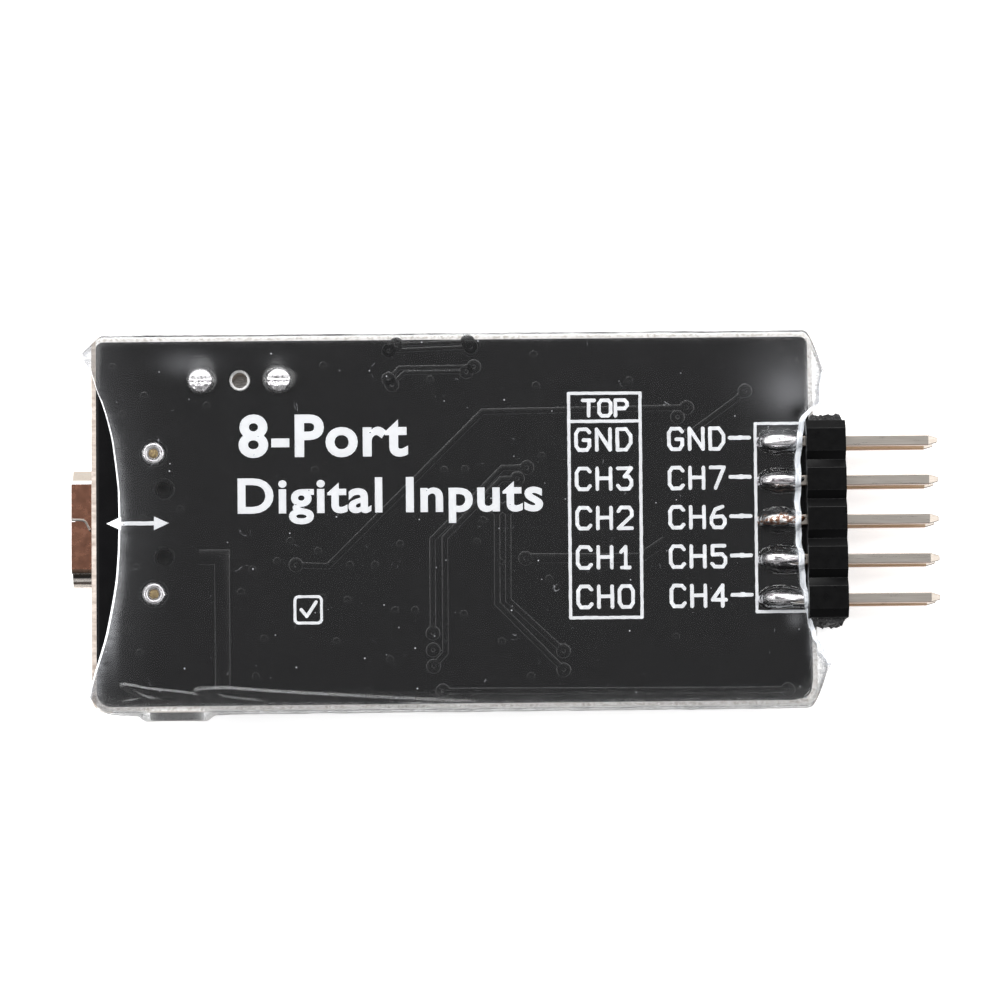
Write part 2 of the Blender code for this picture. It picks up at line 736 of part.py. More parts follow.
def surface_parts(parent, looks):
    package("controller_chip", (3.4, 0.0), (7.5, 18.4, 2.4), two_rows(28, 0.635, 0.26), 5.15, parent, looks)
    package("memory_chip", (13.0, 6.6), (3.9, 4.9, 1.6), two_rows(4, 1.27, 0.42), 3.0, parent, looks)
    regulator_leads = [(1, row(i, 3, 2.3), 0.7) for i in range(3)] + [(-1, 0.0, 3.0)]
    package("voltage_regulator", (-8.4, -6.8), (3.5, 6.5, 1.7), regulator_leads, 3.5, parent, looks, 0.25)
    tantalum("bulk_capacitor", (-12.1, -1.4), parent, looks)
    chip_part("input_fuse", (-13.9, -4.6), (3.2, 1.6, 0.8), 0.5, "x", parent, looks, "fuse")
    led("power_led", (13.4, -9.6), parent, looks)
    led("activity_led", (17.2, -9.6), parent, looks)
    resistor_array("resistor_array_1", (17.4, 2.2), parent, looks)
    resistor_array("resistor_array_2", (17.4, -2.6), parent, looks)
    for i, at in enumerate(((-4.6, 2.6), (-4.6, -2.4), (11.6, 0.6), (12.2, -4.4))):
        chip_part(f"bypass_capacitor_{i + 1}", at, (2.0, 1.25, 0.9), 0.4, "x", parent, looks, "ceramic")
    for i, at in enumerate(((13.4, -7.3), (17.2, -7.3))):
        chip_part(f"led_resistor_{i + 1}", at, (2.0, 1.25, 0.5), 0.35, "x", parent, looks, "resistor")


# ---------------------------------------------------------------- heat-shrink sleeve


def content_boxes(outside):
    """(low, high) in millimetres of everything the sleeve holds, leaving out the named outside pieces."""
    bpy.context.view_layer.update()
    boxes = []
    for item in bpy.data.objects:
        if item.type != "MESH" or item.hide_render or item.name.startswith(outside):
            continue
        corners = [item.matrix_world @ Vector(c) / MM for c in item.bound_box]
        low = [min(c[k] for c in corners) for k in range(3)]
        high = [max(c[k] for c in corners) for k in range(3)]
        boxes.append((low, high))
    return boxes


def beyond(value, low, high):
    return max(low - value, value - high, 0.0)


def far_depth(x, y, boxes):
    """How low the film hangs on the component side: the envelope of a tent over each part."""
    lowest = BOARD_BOTTOM
    for low, high in boxes:
        away = max(beyond(x, low[0] - TENT_MARGIN, high[0] + TENT_MARGIN),
                   beyond(y, low[1] - TENT_MARGIN, high[1] + TENT_MARGIN))
        lowest = min(lowest, low[2] + TENT_SLOPE * away)
    return lowest - FILM_GAP


def near_lift(x, y):
    """How far the film is lifted off the board's label side by what is soldered there."""
    lift = 0.0
    crystal_x, crystal_y = CRYSTAL_CENTRE
    bumps = [(crystal_x + side * LEAD_PITCH / 2, crystal_y, 0.85, 1.9) for side in (-1, 1)]
    bumps += [(USB_MOUTH_X + USB_STAKE_X, side * USB_STAKE_Y, 0.22, 1.5) for side in (-1, 1)]
    for bump_x, bump_y, height, radius in bumps:
        share = math.hypot(x - bump_x, y - bump_y) / radius
        lift = max(lift, height * max(0.0, 1 - share * share) ** 1.2)
    from_header = y - HEADER_Y
    if abs(from_header) < POSITIONS * PITCH / 2:
        rise = min(max((x - 18.4) / 1.5, 0.0), 1.0)
        lift = max(lift, 1.15 * rise * rise * (3 - 2 * rise) * abs(math.cos(math.pi * from_header / PITCH)))
    return lift


def side_bulge(x, side):
    """How far the plunger pushes the sleeve's wall out past the board's long edge."""
    if side > 0:
        return 0.0
    away = max(abs(x - SWITCH_X) - PLUNGER_HALF - 0.15, 0.0)
    return max(0.0, PLUNGER_PROUD - 0.55 * away)


def end_x(share, far, end, dip, far_dip, bend):
    """Where the film stops: furthest at the side folds, drawn back in the middle of each face."""
    drawn = (far_dip if far else dip) * (1 - abs(share) ** bend)
    return end - math.copysign(drawn, end)


def pinch(x):
    """The free ends curl inwards past the board."""
    left = max(0.0, (-x - 23.3) / 0.45) * 0.08
    right = max(0.0, (x - 23.4) / 0.9) * 0.21
    return 1 - left - right


def sleeve_stations():
    """(fixed x or None, share of the way from the last fixed x to the end)."""
    fixed = [-20.3, -19.25, -18.2, -17.1, -16.04, -15.1, -14.2, -13.2, -12.2, -11.16, -10.0, -8.8, -7.4]
    fixed += [-5.0, -2.6, 0.0, 3.4, 7.0, 9.5, 12.0, 14.5, 16.5, 18.0, 18.7, 19.2, 19.7, 20.4, 21.2]
    left = [("left", share) for share in (1.0, 0.8, 0.45)]
    right = [("right", share) for share in (0.35, 0.7, 0.85, 1.0)]
    return left, fixed, right


def station_x(station, share, far, fixed):
    """X of one point of a station, given how far across the film it is from -1 to 1."""
    if not isinstance(station, tuple):
        return station
    side, along = station
    if side == "left":
        end = end_x(share, far, LEFT_END, LEFT_DIP, LEFT_FAR_DIP, LEFT_BEND)
        return fixed[0] + (end - fixed[0]) * along
    end = end_x(share, far, RIGHT_END, RIGHT_DIP, RIGHT_FAR_DIP, RIGHT_BEND)
    return fixed[-1] + (end - fixed[-1]) * along


def sleeve_loop(station, fixed, boxes, wall):
    """One closed loop of points round the board: over the label side, then back over the components."""
    half_width = BOARD_WIDTH / 2 + FILM_GAP + wall
    points = []

    def add(share, z_of, far):
        x = station_x(station, share, far, fixed)
        side = 1 if share > 0 else -1
        y = share * (half_width + side_bulge(x, side) * abs(share) ** 30)
        z = z_of(x, share * (BOARD_WIDTH / 2))
        squeeze = pinch(x)
        points.append((x, y * squeeze, BOARD_MIDDLE + (z - BOARD_MIDDLE) * squeeze))

    def near(x, y):
        return BOARD_TOP + FILM_GAP + wall + near_lift(x, y)

    def far(x, y):
        return far_depth(x, y, boxes) - wall

    steps = [i / ACROSS_COUNT for i in range(-ACROSS_COUNT, ACROSS_COUNT + 1)]
    for share in steps:
        add(share, near, False)
    for share in reversed(steps):
        add(share, far, True)
    return points


def heat_shrink_sleeve(parent, looks):
    outside = ("header_housing", "header_pin", "usb_contact", "heat_shrink")
    boxes = content_boxes(outside)
    tail = (PIN_START_X, RIGHT_END - RIGHT_DIP)
    pin_low = BOARD_MIDDLE - PITCH / 2 - PIN_SIDE / 2
    reach = PITCH * (POSITIONS - 1) / 2
    boxes.append(((tail[0], HEADER_Y - reach, pin_low), (tail[1], HEADER_Y + reach, BOARD_BOTTOM)))
    left, fixed, right = sleeve_stations()
    stations = left + fixed + right
    shape = bmesh.new()
    skins = []
    for wall in (0.0, FILM_WALL):
        loops = [sleeve_loop(station, fixed, boxes, wall) for station in stations]
        skins.append([[shape.verts.new(point) for point in loop] for loop in loops])
    for skin in skins:
        for loop, after in zip(skin, skin[1:], strict=False):
            for i in range(len(loop)):
                j = (i + 1) % len(loop)
                shape.faces.new((loop[i], loop[j], after[j], after[i]))
    inner, outer = skins
    for end in (0, -1):
        for i in range(len(inner[end])):
            j = (i + 1) % len(inner[end])
            shape.faces.new((inner[end][i], inner[end][j], outer[end][j], outer[end][i]))
    finish("heat_shrink_sleeve", shape, looks["film"], parent)


# ---------------------------------------------------------------- assembly


def make_looks():
    return {
        "board": material("black_solder_mask", (0.012, 0.012, 0.014), 0.38),
        "film": material("clear_heat_shrink", (0.93, 0.94, 0.95), 0.12),
        "plated_steel": material("nickel_plated_steel", (0.66, 0.62, 0.58), 0.25, 1.0),
        "gold": material("gold_plating", (0.82, 0.66, 0.40), 0.22, 1.0),
        "tin": material("tin_plating", (0.70, 0.70, 0.69), 0.30, 1.0),
        "solder": material("solder", (0.78, 0.78, 0.78), 0.18, 1.0),
        "black_plastic": material("black_nylon", (0.010, 0.010, 0.011), 0.45),
        "dark_plastic": material("socket_insulator", (0.02, 0.02, 0.02), 0.5),
        "quartz": material("quartz", (0.85, 0.86, 0.88), 0.1),
        "chip": material("chip_moulding", (0.025, 0.025, 0.027), 0.55),
        "resistor": material("resistor_body", (0.02, 0.02, 0.02), 0.4),
        "ceramic": material("capacitor_ceramic", (0.42, 0.29, 0.17), 0.45),
        "tantalum": material("tantalum_moulding", (0.55, 0.38, 0.06), 0.5),
        "fuse": material("fuse_laminate", (0.04, 0.16, 0.06), 0.4),
        "led": material("led_lens", (0.75, 0.78, 0.70), 0.2),
    }


def build():
    clear_scene()
    looks = make_looks()
    whole = frame("analyzer_frame", (0, 0, 0))
    components = frame("component_side", (0, 0, BOARD_BOTTOM - SEAT), whole, flipped=True)
    labels = frame("label_side", (0, 0, BOARD_TOP), whole)

    circuit_board(whole, looks)
    socket = frame("usb_socket_frame", (USB_MOUTH_X, 0, 0), components)
    usb_shell(socket, looks)
    usb_insulator(socket, looks)
    for i in range(5):
        usb_contact(i, socket, looks)
    for side in (1, -1):
        usb_stake_solder(side, labels, looks)
    pin_header(whole, looks)
    crystal(components, labels, looks)
    push_switch(components, looks)
    surface_parts(components, looks)
    heat_shrink_sleeve(whole, looks)


build()
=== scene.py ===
"""Looks for the pocket logic analyzer: solder mask, ink, solder, film, plated metal and moulded parts.

Lengths are millimetres in the CAD frame: X from the USB socket to the pin header, Z out of the label side.
Every piece is placed from the CAD boxes. MM turns millimetres into Blender's metres.
"""

import math

import bmesh
import bpy
import numpy as np
from mathutils import Matrix, Vector


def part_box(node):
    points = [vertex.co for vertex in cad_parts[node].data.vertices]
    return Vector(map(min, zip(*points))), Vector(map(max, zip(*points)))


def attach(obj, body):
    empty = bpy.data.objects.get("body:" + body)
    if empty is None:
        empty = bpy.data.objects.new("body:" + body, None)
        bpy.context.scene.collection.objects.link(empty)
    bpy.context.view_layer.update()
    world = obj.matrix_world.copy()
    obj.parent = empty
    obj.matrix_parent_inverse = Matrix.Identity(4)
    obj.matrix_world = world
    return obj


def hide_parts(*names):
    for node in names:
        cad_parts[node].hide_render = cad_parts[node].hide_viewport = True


MM = 0.001
ROOT = "board_assembly"
PLUNGER = "plunger"
PITCH = 2.54
POSITIONS = 5
SIDES = ("left", "right")

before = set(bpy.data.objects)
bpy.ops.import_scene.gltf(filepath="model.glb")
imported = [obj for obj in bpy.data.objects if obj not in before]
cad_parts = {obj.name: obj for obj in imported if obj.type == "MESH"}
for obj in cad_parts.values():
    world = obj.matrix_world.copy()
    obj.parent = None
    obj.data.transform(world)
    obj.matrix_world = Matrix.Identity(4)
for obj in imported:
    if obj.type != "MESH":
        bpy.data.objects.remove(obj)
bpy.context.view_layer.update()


def node_box(name):
    """Lowest and highest corner of a CAD node, in millimetres."""
    low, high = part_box(name)
    return np.array(low) / MM, np.array(high) / MM


def centre_of(node):
    """The middle of a CAD node seen from above, in millimetres."""
    low, high = node_box(node)
    return tuple(((low + high) / 2)[:2].tolist())


BOARD_LOW, BOARD_HIGH = node_box("circuit_board")
BOARD_TOP = BOARD_HIGH[2]
BOARD_BOTTOM = BOARD_LOW[2]
BOARD_MIDDLE = (BOARD_TOP + BOARD_BOTTOM) / 2
SLEEVE_LOW = node_box("heat_shrink_sleeve")[0]
HOUSING_LOW, HOUSING_HIGH = node_box("header_housing")

MASK_THICKNESS = 0.012
MASK_TOP = BOARD_TOP + MASK_THICKNESS
MASK_INSET = 0.3
MASK_CORNERS = (0.5, 0.45, 0.95, 1.4)
TRACE_HEIGHT = 0.016
TRACE_SLOPE = 0.05
RELIEF_BASE = MASK_TOP - 0.002  # raised details start a little inside the mask
INK_HEIGHT = 0.02


# ---------------------------------------------------------------- node materials


class Nodes:
    """Short ways to wire a node tree."""

    def __init__(self, tree):
        self.tree = tree

    def node(self, kind, **settings):
        made = self.tree.nodes.new(kind)
        for key, value in settings.items():
            setattr(made, key, value)
        return made

    def link(self, source, target):
        self.tree.links.new(source, target)

    def ramp(self, source, stops, ease=False):
        """Grey levels or colours at places from 0 to 1."""
        made = self.node("ShaderNodeValToRGB")
        made.color_ramp.interpolation = "EASE" if ease else "LINEAR"
        elements = made.color_ramp.elements
        while len(elements) < len(stops):
            elements.new(0.5)
        for element, (position, colour) in zip(elements, stops, strict=True):
            element.position = position
            shade = colour if isinstance(colour, tuple) else (colour,) * 3
            element.color = (*shade, 1.0)
        self.link(source, made.inputs["Fac"])
        return made.outputs["Color"]


class Look(Nodes):
    """A Principled material and short ways to wire procedural detail into it."""

    def __init__(self, name, colour, roughness, metallic=0.0, **inputs):
        self.material = bpy.data.materials.new(name)
        self.material.use_nodes = True
        super().__init__(self.material.node_tree)
        self.shader = self.tree.nodes["Principled BSDF"]
        self.output = self.tree.nodes["Material Output"]
        self.set("Base Color", (*colour, 1.0))
        self.set("Roughness", roughness)
        self.set("Metallic", metallic)
        for key, value in inputs.items():
            self.set(key.replace("_", " ").title().replace("Ior", "IOR"), value)
        self.place = self.node("ShaderNodeTexCoord").outputs["Object"]

    def set(self, name, value):
        self.shader.inputs[name].default_value = value

    def scaled(self, per_mm):
        """Object coordinates in millimetres, times a scale, or one for each axis."""
        scales = per_mm if isinstance(per_mm, tuple) else (per_mm,) * 3
        mapping = self.node("ShaderNodeMapping")
        mapping.inputs["Scale"].default_value = Vector(scales) / MM
        self.link(self.place, mapping.inputs["Vector"])
        return mapping.outputs["Vector"]

    def noise(self, per_mm, detail=4.0, roughness=0.55):
        made = self.node("ShaderNodeTexNoise")
        made.inputs["Scale"].default_value = 1.0
        made.inputs["Detail"].default_value = detail
        made.inputs["Roughness"].default_value = roughness
        self.link(self.scaled(per_mm), made.inputs["Vector"])
        return made.outputs["Fac"]

    def spots(self, per_mm):
        """Distance to the nearest of many scattered points."""
        made = self.node("ShaderNodeTexVoronoi", feature="F1")
        made.inputs["Scale"].default_value = 1.0
        self.link(self.scaled(per_mm), made.inputs["Vector"])
        return made.outputs["Distance"]

    def mark(self, name):
        """A value that the mesh carries at its vertices."""
        return self.node("ShaderNodeAttribute", attribute_name=name).outputs["Fac"]

    def vary(self, input_name, source, stops):
        self.link(self.ramp(source, stops), self.shader.inputs[input_name])

    def bump(self, source, height_mm):
        made = self.node("ShaderNodeBump")
        made.inputs["Strength"].default_value = 1.0
        made.inputs["Distance"].default_value = height_mm * MM
        self.link(source, made.inputs["Height"])
        previous = self.shader.inputs["Normal"].links
        if previous:
            self.link(previous[0].from_socket, made.inputs["Normal"])
        self.link(made.outputs["Normal"], self.shader.inputs["Normal"])

    def geometry(self, output, axis):
        """One component of the surface's normal or of its place in the world."""
        split = self.node("ShaderNodeSeparateXYZ")
        self.link(self.node("ShaderNodeNewGeometry").outputs[output], split.inputs[0])
        return split.outputs[axis]

    def facing_up(self, start, end):
        """0 where a face leans away from +Z, 1 where it faces +Z."""
        return self.ramp(self.geometry("Normal", "Z"), [(start, 0.0), (end, 1.0)])

    def across(self, axis, low, high):
        """0 to 1 between two places along an axis, in mm."""
        made = self.node("ShaderNodeMapRange")
        made.inputs["From Min"].default_value = low * MM
        made.inputs["From Max"].default_value = high * MM
        self.link(self.geometry("Position", axis), made.inputs["Value"])
        return made.outputs["Result"]

    def blend(self, share, first, second):
        """A mix of two colours."""
        made = self.node("ShaderNodeMix", data_type="RGBA")
        self.link(share, made.inputs["Factor"])
        for slot, colour in ((6, first), (7, second)):
            if isinstance(colour, tuple):
                made.inputs[slot].default_value = (*colour, 1.0)
            else:
                self.link(colour, made.inputs[slot])
        return made.outputs[2]

    def math(self, operation, first, second=None):
        made = self.node("ShaderNodeMath", operation=operation)
        for slot, value in zip(made.inputs, (first, second), strict=False):
            if isinstance(value, (int, float)):
                slot.default_value = value
            elif value is not None:
                self.link(value, slot)
        return made.outputs[0]

    def mixed(self, share, first, second):
        """A mix of two shaders."""
        made = self.node("ShaderNodeMixShader")
        self.link(share, made.inputs["Fac"])
        self.link(first.outputs["BSDF" if "BSDF" in first.outputs else "Shader"], made.inputs[1])
        self.link(second.outputs["BSDF"], made.inputs[2])
        return made


SHELL_HALF = 3.78  # half the width of the socket's shell, without its feet


def laminate_look():
    """Bare glass-epoxy edge: pale tan with its glass layers showing as fine stripes."""
    look = Look("glass_epoxy", (0.70, 0.62, 0.48), 0.55)
    layers = look.noise((0.5, 0.5, 9.0), detail=5)
    glass = [(0.3, (0.42, 0.34, 0.28)), (0.5, (0.62, 0.54, 0.47)), (0.7, (0.86, 0.82, 0.78))]
    cut = look.ramp(look.noise(5), [(0.38, (0.60, 0.56, 0.52)), (0.55, (0.93, 0.91, 0.89))])
    inner = look.blend(look.facing_up(0.6, 0.9), look.ramp(layers, glass), cut)
    left = look.ramp(look.noise((2, 4, 2)), [(0.35, (0.40, 0.33, 0.28)), (0.65, (0.66, 0.58, 0.52))])
    border = BOARD_LOW[0] + MASK_INSET + 0.02
    colour = look.blend(look.across("X", border - 0.05, border), left, inner)
    look.link(colour, look.shader.inputs["Base Color"])
    look.bump(look.noise((6, 6, 14)), 0.02)
    return look.material


def mask_look():
    """Black solder mask: satin, with a faint orange peel, pinholes and specks of dust."""
    black = (0.0022, 0.0021, 0.0026)
    look = Look("black_solder_mask", black, 0.2, specular_ior_level=0.32)
    look.vary("Roughness", look.noise(0.6, detail=3), [(0.3, 0.16), (0.7, 0.22)])
    look.vary("Base Color", look.spots(1.1), [(0.0, (0.30, 0.30, 0.31)), (0.022, 0.10), (0.034, black)])
    look.bump(look.noise(14, detail=2), 0.0022)
    look.bump(look.noise((1.6, 5.0, 1.0), detail=3), 0.0045)
    return look.material


def mask_step_look():
    """Where the mask steps over buried copper it thins and shines."""
    look = Look("mask_over_copper", (0.009, 0.009, 0.010), 0.26, specular_ior_level=0.6)
    look.vary("Roughness", look.noise(2, detail=3), [(0.3, 0.22), (0.7, 0.38)])
    look.bump(look.noise(9, detail=3), 0.003)
    return look.material


def ink_look():
    """White legend ink, a little uneven in thickness, with a faint painted glow."""
    look = Look("white_ink", (0.92, 0.93, 0.94), 0.55)
    patches = [(0.30, (0.78, 0.81, 0.83)), (0.45, (0.94, 0.95, 0.96))]
    look.vary("Base Color", look.noise(7, detail=3), patches)
    # Painted light: the ink glows a little, by emission.
    look.set("Emission Color", (0.93, 0.95, 1.0, 1.0))
    look.set("Emission Strength", 0.34)
    look.bump(look.noise(12), 0.006)
    return look.material


def solder_look():
    """Bright drawn-out solder with painted dark reflections along it."""
    look = Look("solder", (0.86, 0.85, 0.86), 0.16, 1.0)
    look.vary("Roughness", look.noise((2, 6, 4)), [(0.35, 0.10), (0.62, 0.30)])
    # Painted reflections: the dark streaks in the colour.
    streaks = [(0.38, (0.30, 0.26, 0.28)), (0.50, (0.88, 0.86, 0.88))]
    look.vary("Base Color", look.noise((0.7, 5, 3)), streaks)
    look.bump(look.noise((0.5, 2.4, 1.5), detail=2), 0.10)
    look.bump(look.noise((2.5, 7, 5), detail=3), 0.010)
    return look.material


def joint_look(name, grain, shade):
    """Brighter solder that flowed round a lead."""
    look = Look(name, (0.93, 0.92, 0.93), 0.3, 1.0)
    look.vary("Roughness", look.noise(5), [(0.35, 0.16), (0.62, 0.38)])
    streaks = [(0.34, (shade, shade * 0.96, shade)), (0.52, (0.96, 0.95, 0.97))]
    look.vary("Base Color", look.noise((3, 7, 3)), streaks)
    look.bump(look.noise((3, 5, 3)), grain)
    return look.material


def stake_look():
    """The dull yellow tip of a plated stake."""
    look = Look("stake_tip", (0.42, 0.30, 0.13), 0.5, 0.6)
    look.vary("Base Color", look.noise(9), [(0.42, (0.20, 0.13, 0.06)), (0.55, (0.50, 0.37, 0.17))])
    look.bump(look.noise(8), 0.02)
    return look.material


def fluxed_solder_look():
    """Solder with brown flux left in its pits."""
    look = Look("fluxed_solder", (0.86, 0.85, 0.86), 0.2, 1.0)
    stain = look.noise((4, 5, 4))
    flux = [(0.45, (0.16, 0.07, 0.04)), (0.50, (0.42, 0.22, 0.13)), (0.54, (0.88, 0.86, 0.85))]
    look.vary("Base Color", stain, flux)
    look.vary("Roughness", stain, [(0.45, 0.5), (0.55, 0.12)])
    look.bump(look.noise((0.9, 3.5, 2), detail=3), 0.08)
    return look.material


def shell_look():
    """Nickel plate: warm brown where it lies flat, with painted bands of reflected light and dark along its
    flanks.
    """
    look = Look("nickel_shell", (0.50, 0.27, 0.19), 0.26, 1.0)
    rolled = look.noise((2.5, 0.5, 2.5), detail=3)
    flat = look.ramp(rolled, [(0.3, (0.405, 0.19, 0.125)), (0.7, (0.44, 0.21, 0.145))])
    # Painted reflections: bright and dark bands across Y on the flanks and bends; the flat faces keep the
    # brown.
    flanks = [(0.02, (0.92, 0.83, 0.75)), (0.028, (0.10, 0.08, 0.07)), (0.042, (0.10, 0.08, 0.07)),
              (0.05, (0.70, 0.66, 0.62)), (0.068, (0.50, 0.46, 0.43)), (0.075, (0.02, 0.02, 0.02)),
              (0.10, (0.03, 0.025, 0.02)), (0.14, (0.24, 0.14, 0.10)), (0.85, (0.35, 0.20, 0.15)),
              (0.86, (0.80, 0.79, 0.79)), (0.90, (0.80, 0.79, 0.79)), (0.91, (0.38, 0.335, 0.29))]
    sides = look.ramp(look.across("Y", -SHELL_HALF, SHELL_HALF), flanks)
    colour = look.blend(look.facing_up(0.93, 0.99), sides, flat)
    look.link(colour, look.shader.inputs["Base Color"])
    look.vary("Roughness", look.noise(2), [(0.3, 0.22), (0.7, 0.30)])
    look.bump(rolled, 0.0012)
    return look.material


def steel_look():
    """Bright nickel plate, brushed lightly."""
    look = Look("nickel_plate", (0.72, 0.70, 0.67), 0.24, 1.0)
    brushed = look.noise((1.2, 22, 8), detail=3)
    look.vary("Roughness", brushed, [(0.3, 0.18), (0.7, 0.34)])
    look.bump(brushed, 0.003)
    return look.material


def gold_look(name, top_dark, top_light, side):
    """Thin gold over nickel, drawn lengthwise, with painted light and shade: paler on the top face, darker on
    its flanks.
    """
    look = Look(name, top_light, 0.28, 1.0)
    drawn = look.noise((0.4, 9, 9))
    top = look.ramp(drawn, [(0.3, top_dark), (0.7, top_light)])
    # Painted light and shade: pale colours on the top face, the darker side colour on the flanks.
    look.link(look.blend(look.facing_up(0.80, 0.97), side, top), look.shader.inputs["Base Color"])
    look.vary("Roughness", look.noise((0.7, 12, 12), detail=3), [(0.3, 0.27), (0.7, 0.31)])
    look.bump(drawn, 0.0005)
    return look.material


def tin_look():
    look = Look("tin_plate", (0.80, 0.80, 0.79), 0.34, 1.0)
    look.vary("Roughness", look.noise(8), [(0.3, 0.26), (0.7, 0.48)])
    look.bump(look.noise(16), 0.006)
    return look.material


def nylon_look():
    """Black moulded nylon: satin skin, fine grain."""
    look = Look("black_nylon", (0.0026, 0.0026, 0.0028), 0.32, specular_ior_level=0.10)
    look.vary("Roughness", look.noise(2), [(0.3, 0.26), (0.7, 0.38)])
    look.bump(look.noise(9), 0.006)
    return look.material


def nylon_edge_look():
    """The polished, slightly rolled edges of the nylon moulding."""
    look = Look("nylon_edge", (0.004, 0.004, 0.0042), 0.25, specular_ior_level=0.85)
    look.vary("Roughness", look.noise(3), [(0.3, 0.18), (0.7, 0.42)])
    look.bump(look.noise(6, detail=3), 0.006)
    return look.material


def torn_nylon_look():
    """Black nylon where the strip was snapped: rough, stressed pale in places."""
    look = Look("torn_nylon", (0.012, 0.012, 0.013), 0.75)
    torn = look.noise(7, detail=6)
    look.vary("Base Color", torn, [(0.5, (0.008, 0.008, 0.009)), (0.64, 0.05), (0.72, (0.45, 0.45, 0.46))])
    look.bump(torn, 0.12)
    return look.material


def epoxy_look():
    """Chip moulding compound with its glass filler showing as a fine speckle."""
    look = Look("moulding_compound", (0.028, 0.028, 0.031), 0.58)
    filler = [(0.4, (0.018, 0.018, 0.02)), (0.7, (0.05, 0.05, 0.054))]
    look.vary("Base Color", look.noise(18, detail=2), filler)
    look.bump(look.noise(22, detail=2), 0.006)
    return look.material


def plain_look(name, colour, roughness, grain=12.0, depth=0.006, spread=0.25, metallic=0.0):
    """A moulded or fired surface with a little grain and colour drift."""
    look = Look(name, colour, roughness, metallic)
    dark = tuple(c * (1 - spread) for c in colour)
    light = tuple(min(c * (1 + spread), 1.0) for c in colour)
    look.vary("Base Color", look.noise(grain), [(0.3, dark), (0.7, light)])
    look.bump(look.noise(grain * 1.5), depth)
    return look.material


def glass_look(name, colour, roughness=0.06):
    look = Look(name, colour, roughness, transmission_weight=0.85, ior=1.5)
    look.bump(look.noise(4), 0.004)
    return look.material


FILM_IOR = 1.48
MOST_MILK = 0.9


def film_look():
    """Clear shrunk film: see-through and glossy, milky where it is strained and in patches that are painted
    sheen, with fine scuffs and specks.
    """
    look = Look("clear_film", (0.95, 0.96, 0.97), 0.06)
    folds = look.math("MULTIPLY", look.noise((3.5, 7.0, 7.0), detail=5, roughness=0.65), look.mark("crinkle"))
    look.bump(folds, 0.11)
    look.bump(look.noise(0.8, detail=3), 0.010)
    look.bump(look.noise(7, detail=2), 0.0012)
    normal = look.shader.inputs["Normal"].links[0].from_socket
    look.tree.nodes.remove(look.shader)

    clear = look.node("ShaderNodeBsdfTransparent")
    slant = look.node("ShaderNodeLayerWeight")
    slant.inputs["Blend"].default_value = 0.5
    tint = [(0.0, 1.0), (0.55, (0.975, 0.98, 0.985)), (0.96, (0.80, 0.79, 0.785))]
    look.link(look.ramp(slant.outputs["Facing"], tint), clear.inputs["Color"])
    gloss = look.node("ShaderNodeBsdfGlossy")
    gloss.inputs["Roughness"].default_value = 0.07
    fresnel = look.node("ShaderNodeFresnel")
    fresnel.inputs["IOR"].default_value = FILM_IOR
    milk = look.node("ShaderNodeBsdfDiffuse")
    milk.inputs["Color"].default_value = (0.56, 0.57, 0.60, 1.0)
    for shaded in (gloss, fresnel, milk):
        look.link(normal, shaded.inputs["Normal"])

    shine = look.math("MULTIPLY", fresnel.outputs["Fac"], look.math("SUBTRACT", 1.0, look.mark("dull")))
    streaks = look.ramp(look.noise((1.1, 4.5, 2.0)), [(0.35, 0.25), (0.62, 1.25)])
    cloud = look.math("MULTIPLY", look.mark("haze"), streaks)
    flaws = look.math("MAXIMUM", scuffs(look), specks(look))
    # The veil adds the film's even milkiness and the painted sheen patches.
    milky = look.math("ADD", look.math("ADD", cloud, flaws), look.mark("veil_and_painted_sheen"))
    surface = look.mixed(look.math("MINIMUM", milky, MOST_MILK), look.mixed(shine, clear, gloss), milk)
    look.link(surface.outputs["Shader"], look.output.inputs["Surface"])
    return look.material


def scuffs(look):
    """Short hair-like scratches: thin contour lines of one noise, kept only where another is high."""
    lines = look.math("ABSOLUTE", look.math("SUBTRACT", look.noise(0.55, detail=1.5), 0.5))
    thin = look.ramp(lines, [(0.0, 0.55), (0.0035, 0.0)])
    where = look.ramp(look.noise(0.85, detail=2), [(0.66, 0.0), (0.71, 0.8)])
    return look.math("MULTIPLY", thin, where)


def specks(look):
    """Grains of dust."""
    return look.ramp(look.spots(0.8), [(0.028, 0.75), (0.045, 0.0)])


def film_edge_look(name, colour, grain, painted_glow_range):
    """The film's cut edge shows as a milky line with a painted glow: it emits light."""
    look = Look(name, colour, 0.3)
    look.vary("Roughness", look.noise(6), [(0.3, 0.2), (0.7, 0.5)])
    glow = look.ramp(look.noise(grain, detail=3), [(0.40, painted_glow_range[0]), (0.58, painted_glow_range[1])])
    # Painted light: the edge glows by emission, more in patches.
    look.set("Emission Color", (*colour, 1.0))
    look.link(glow, look.shader.inputs["Emission Strength"])
    look.bump(look.noise(9), 0.01)
    return look.material


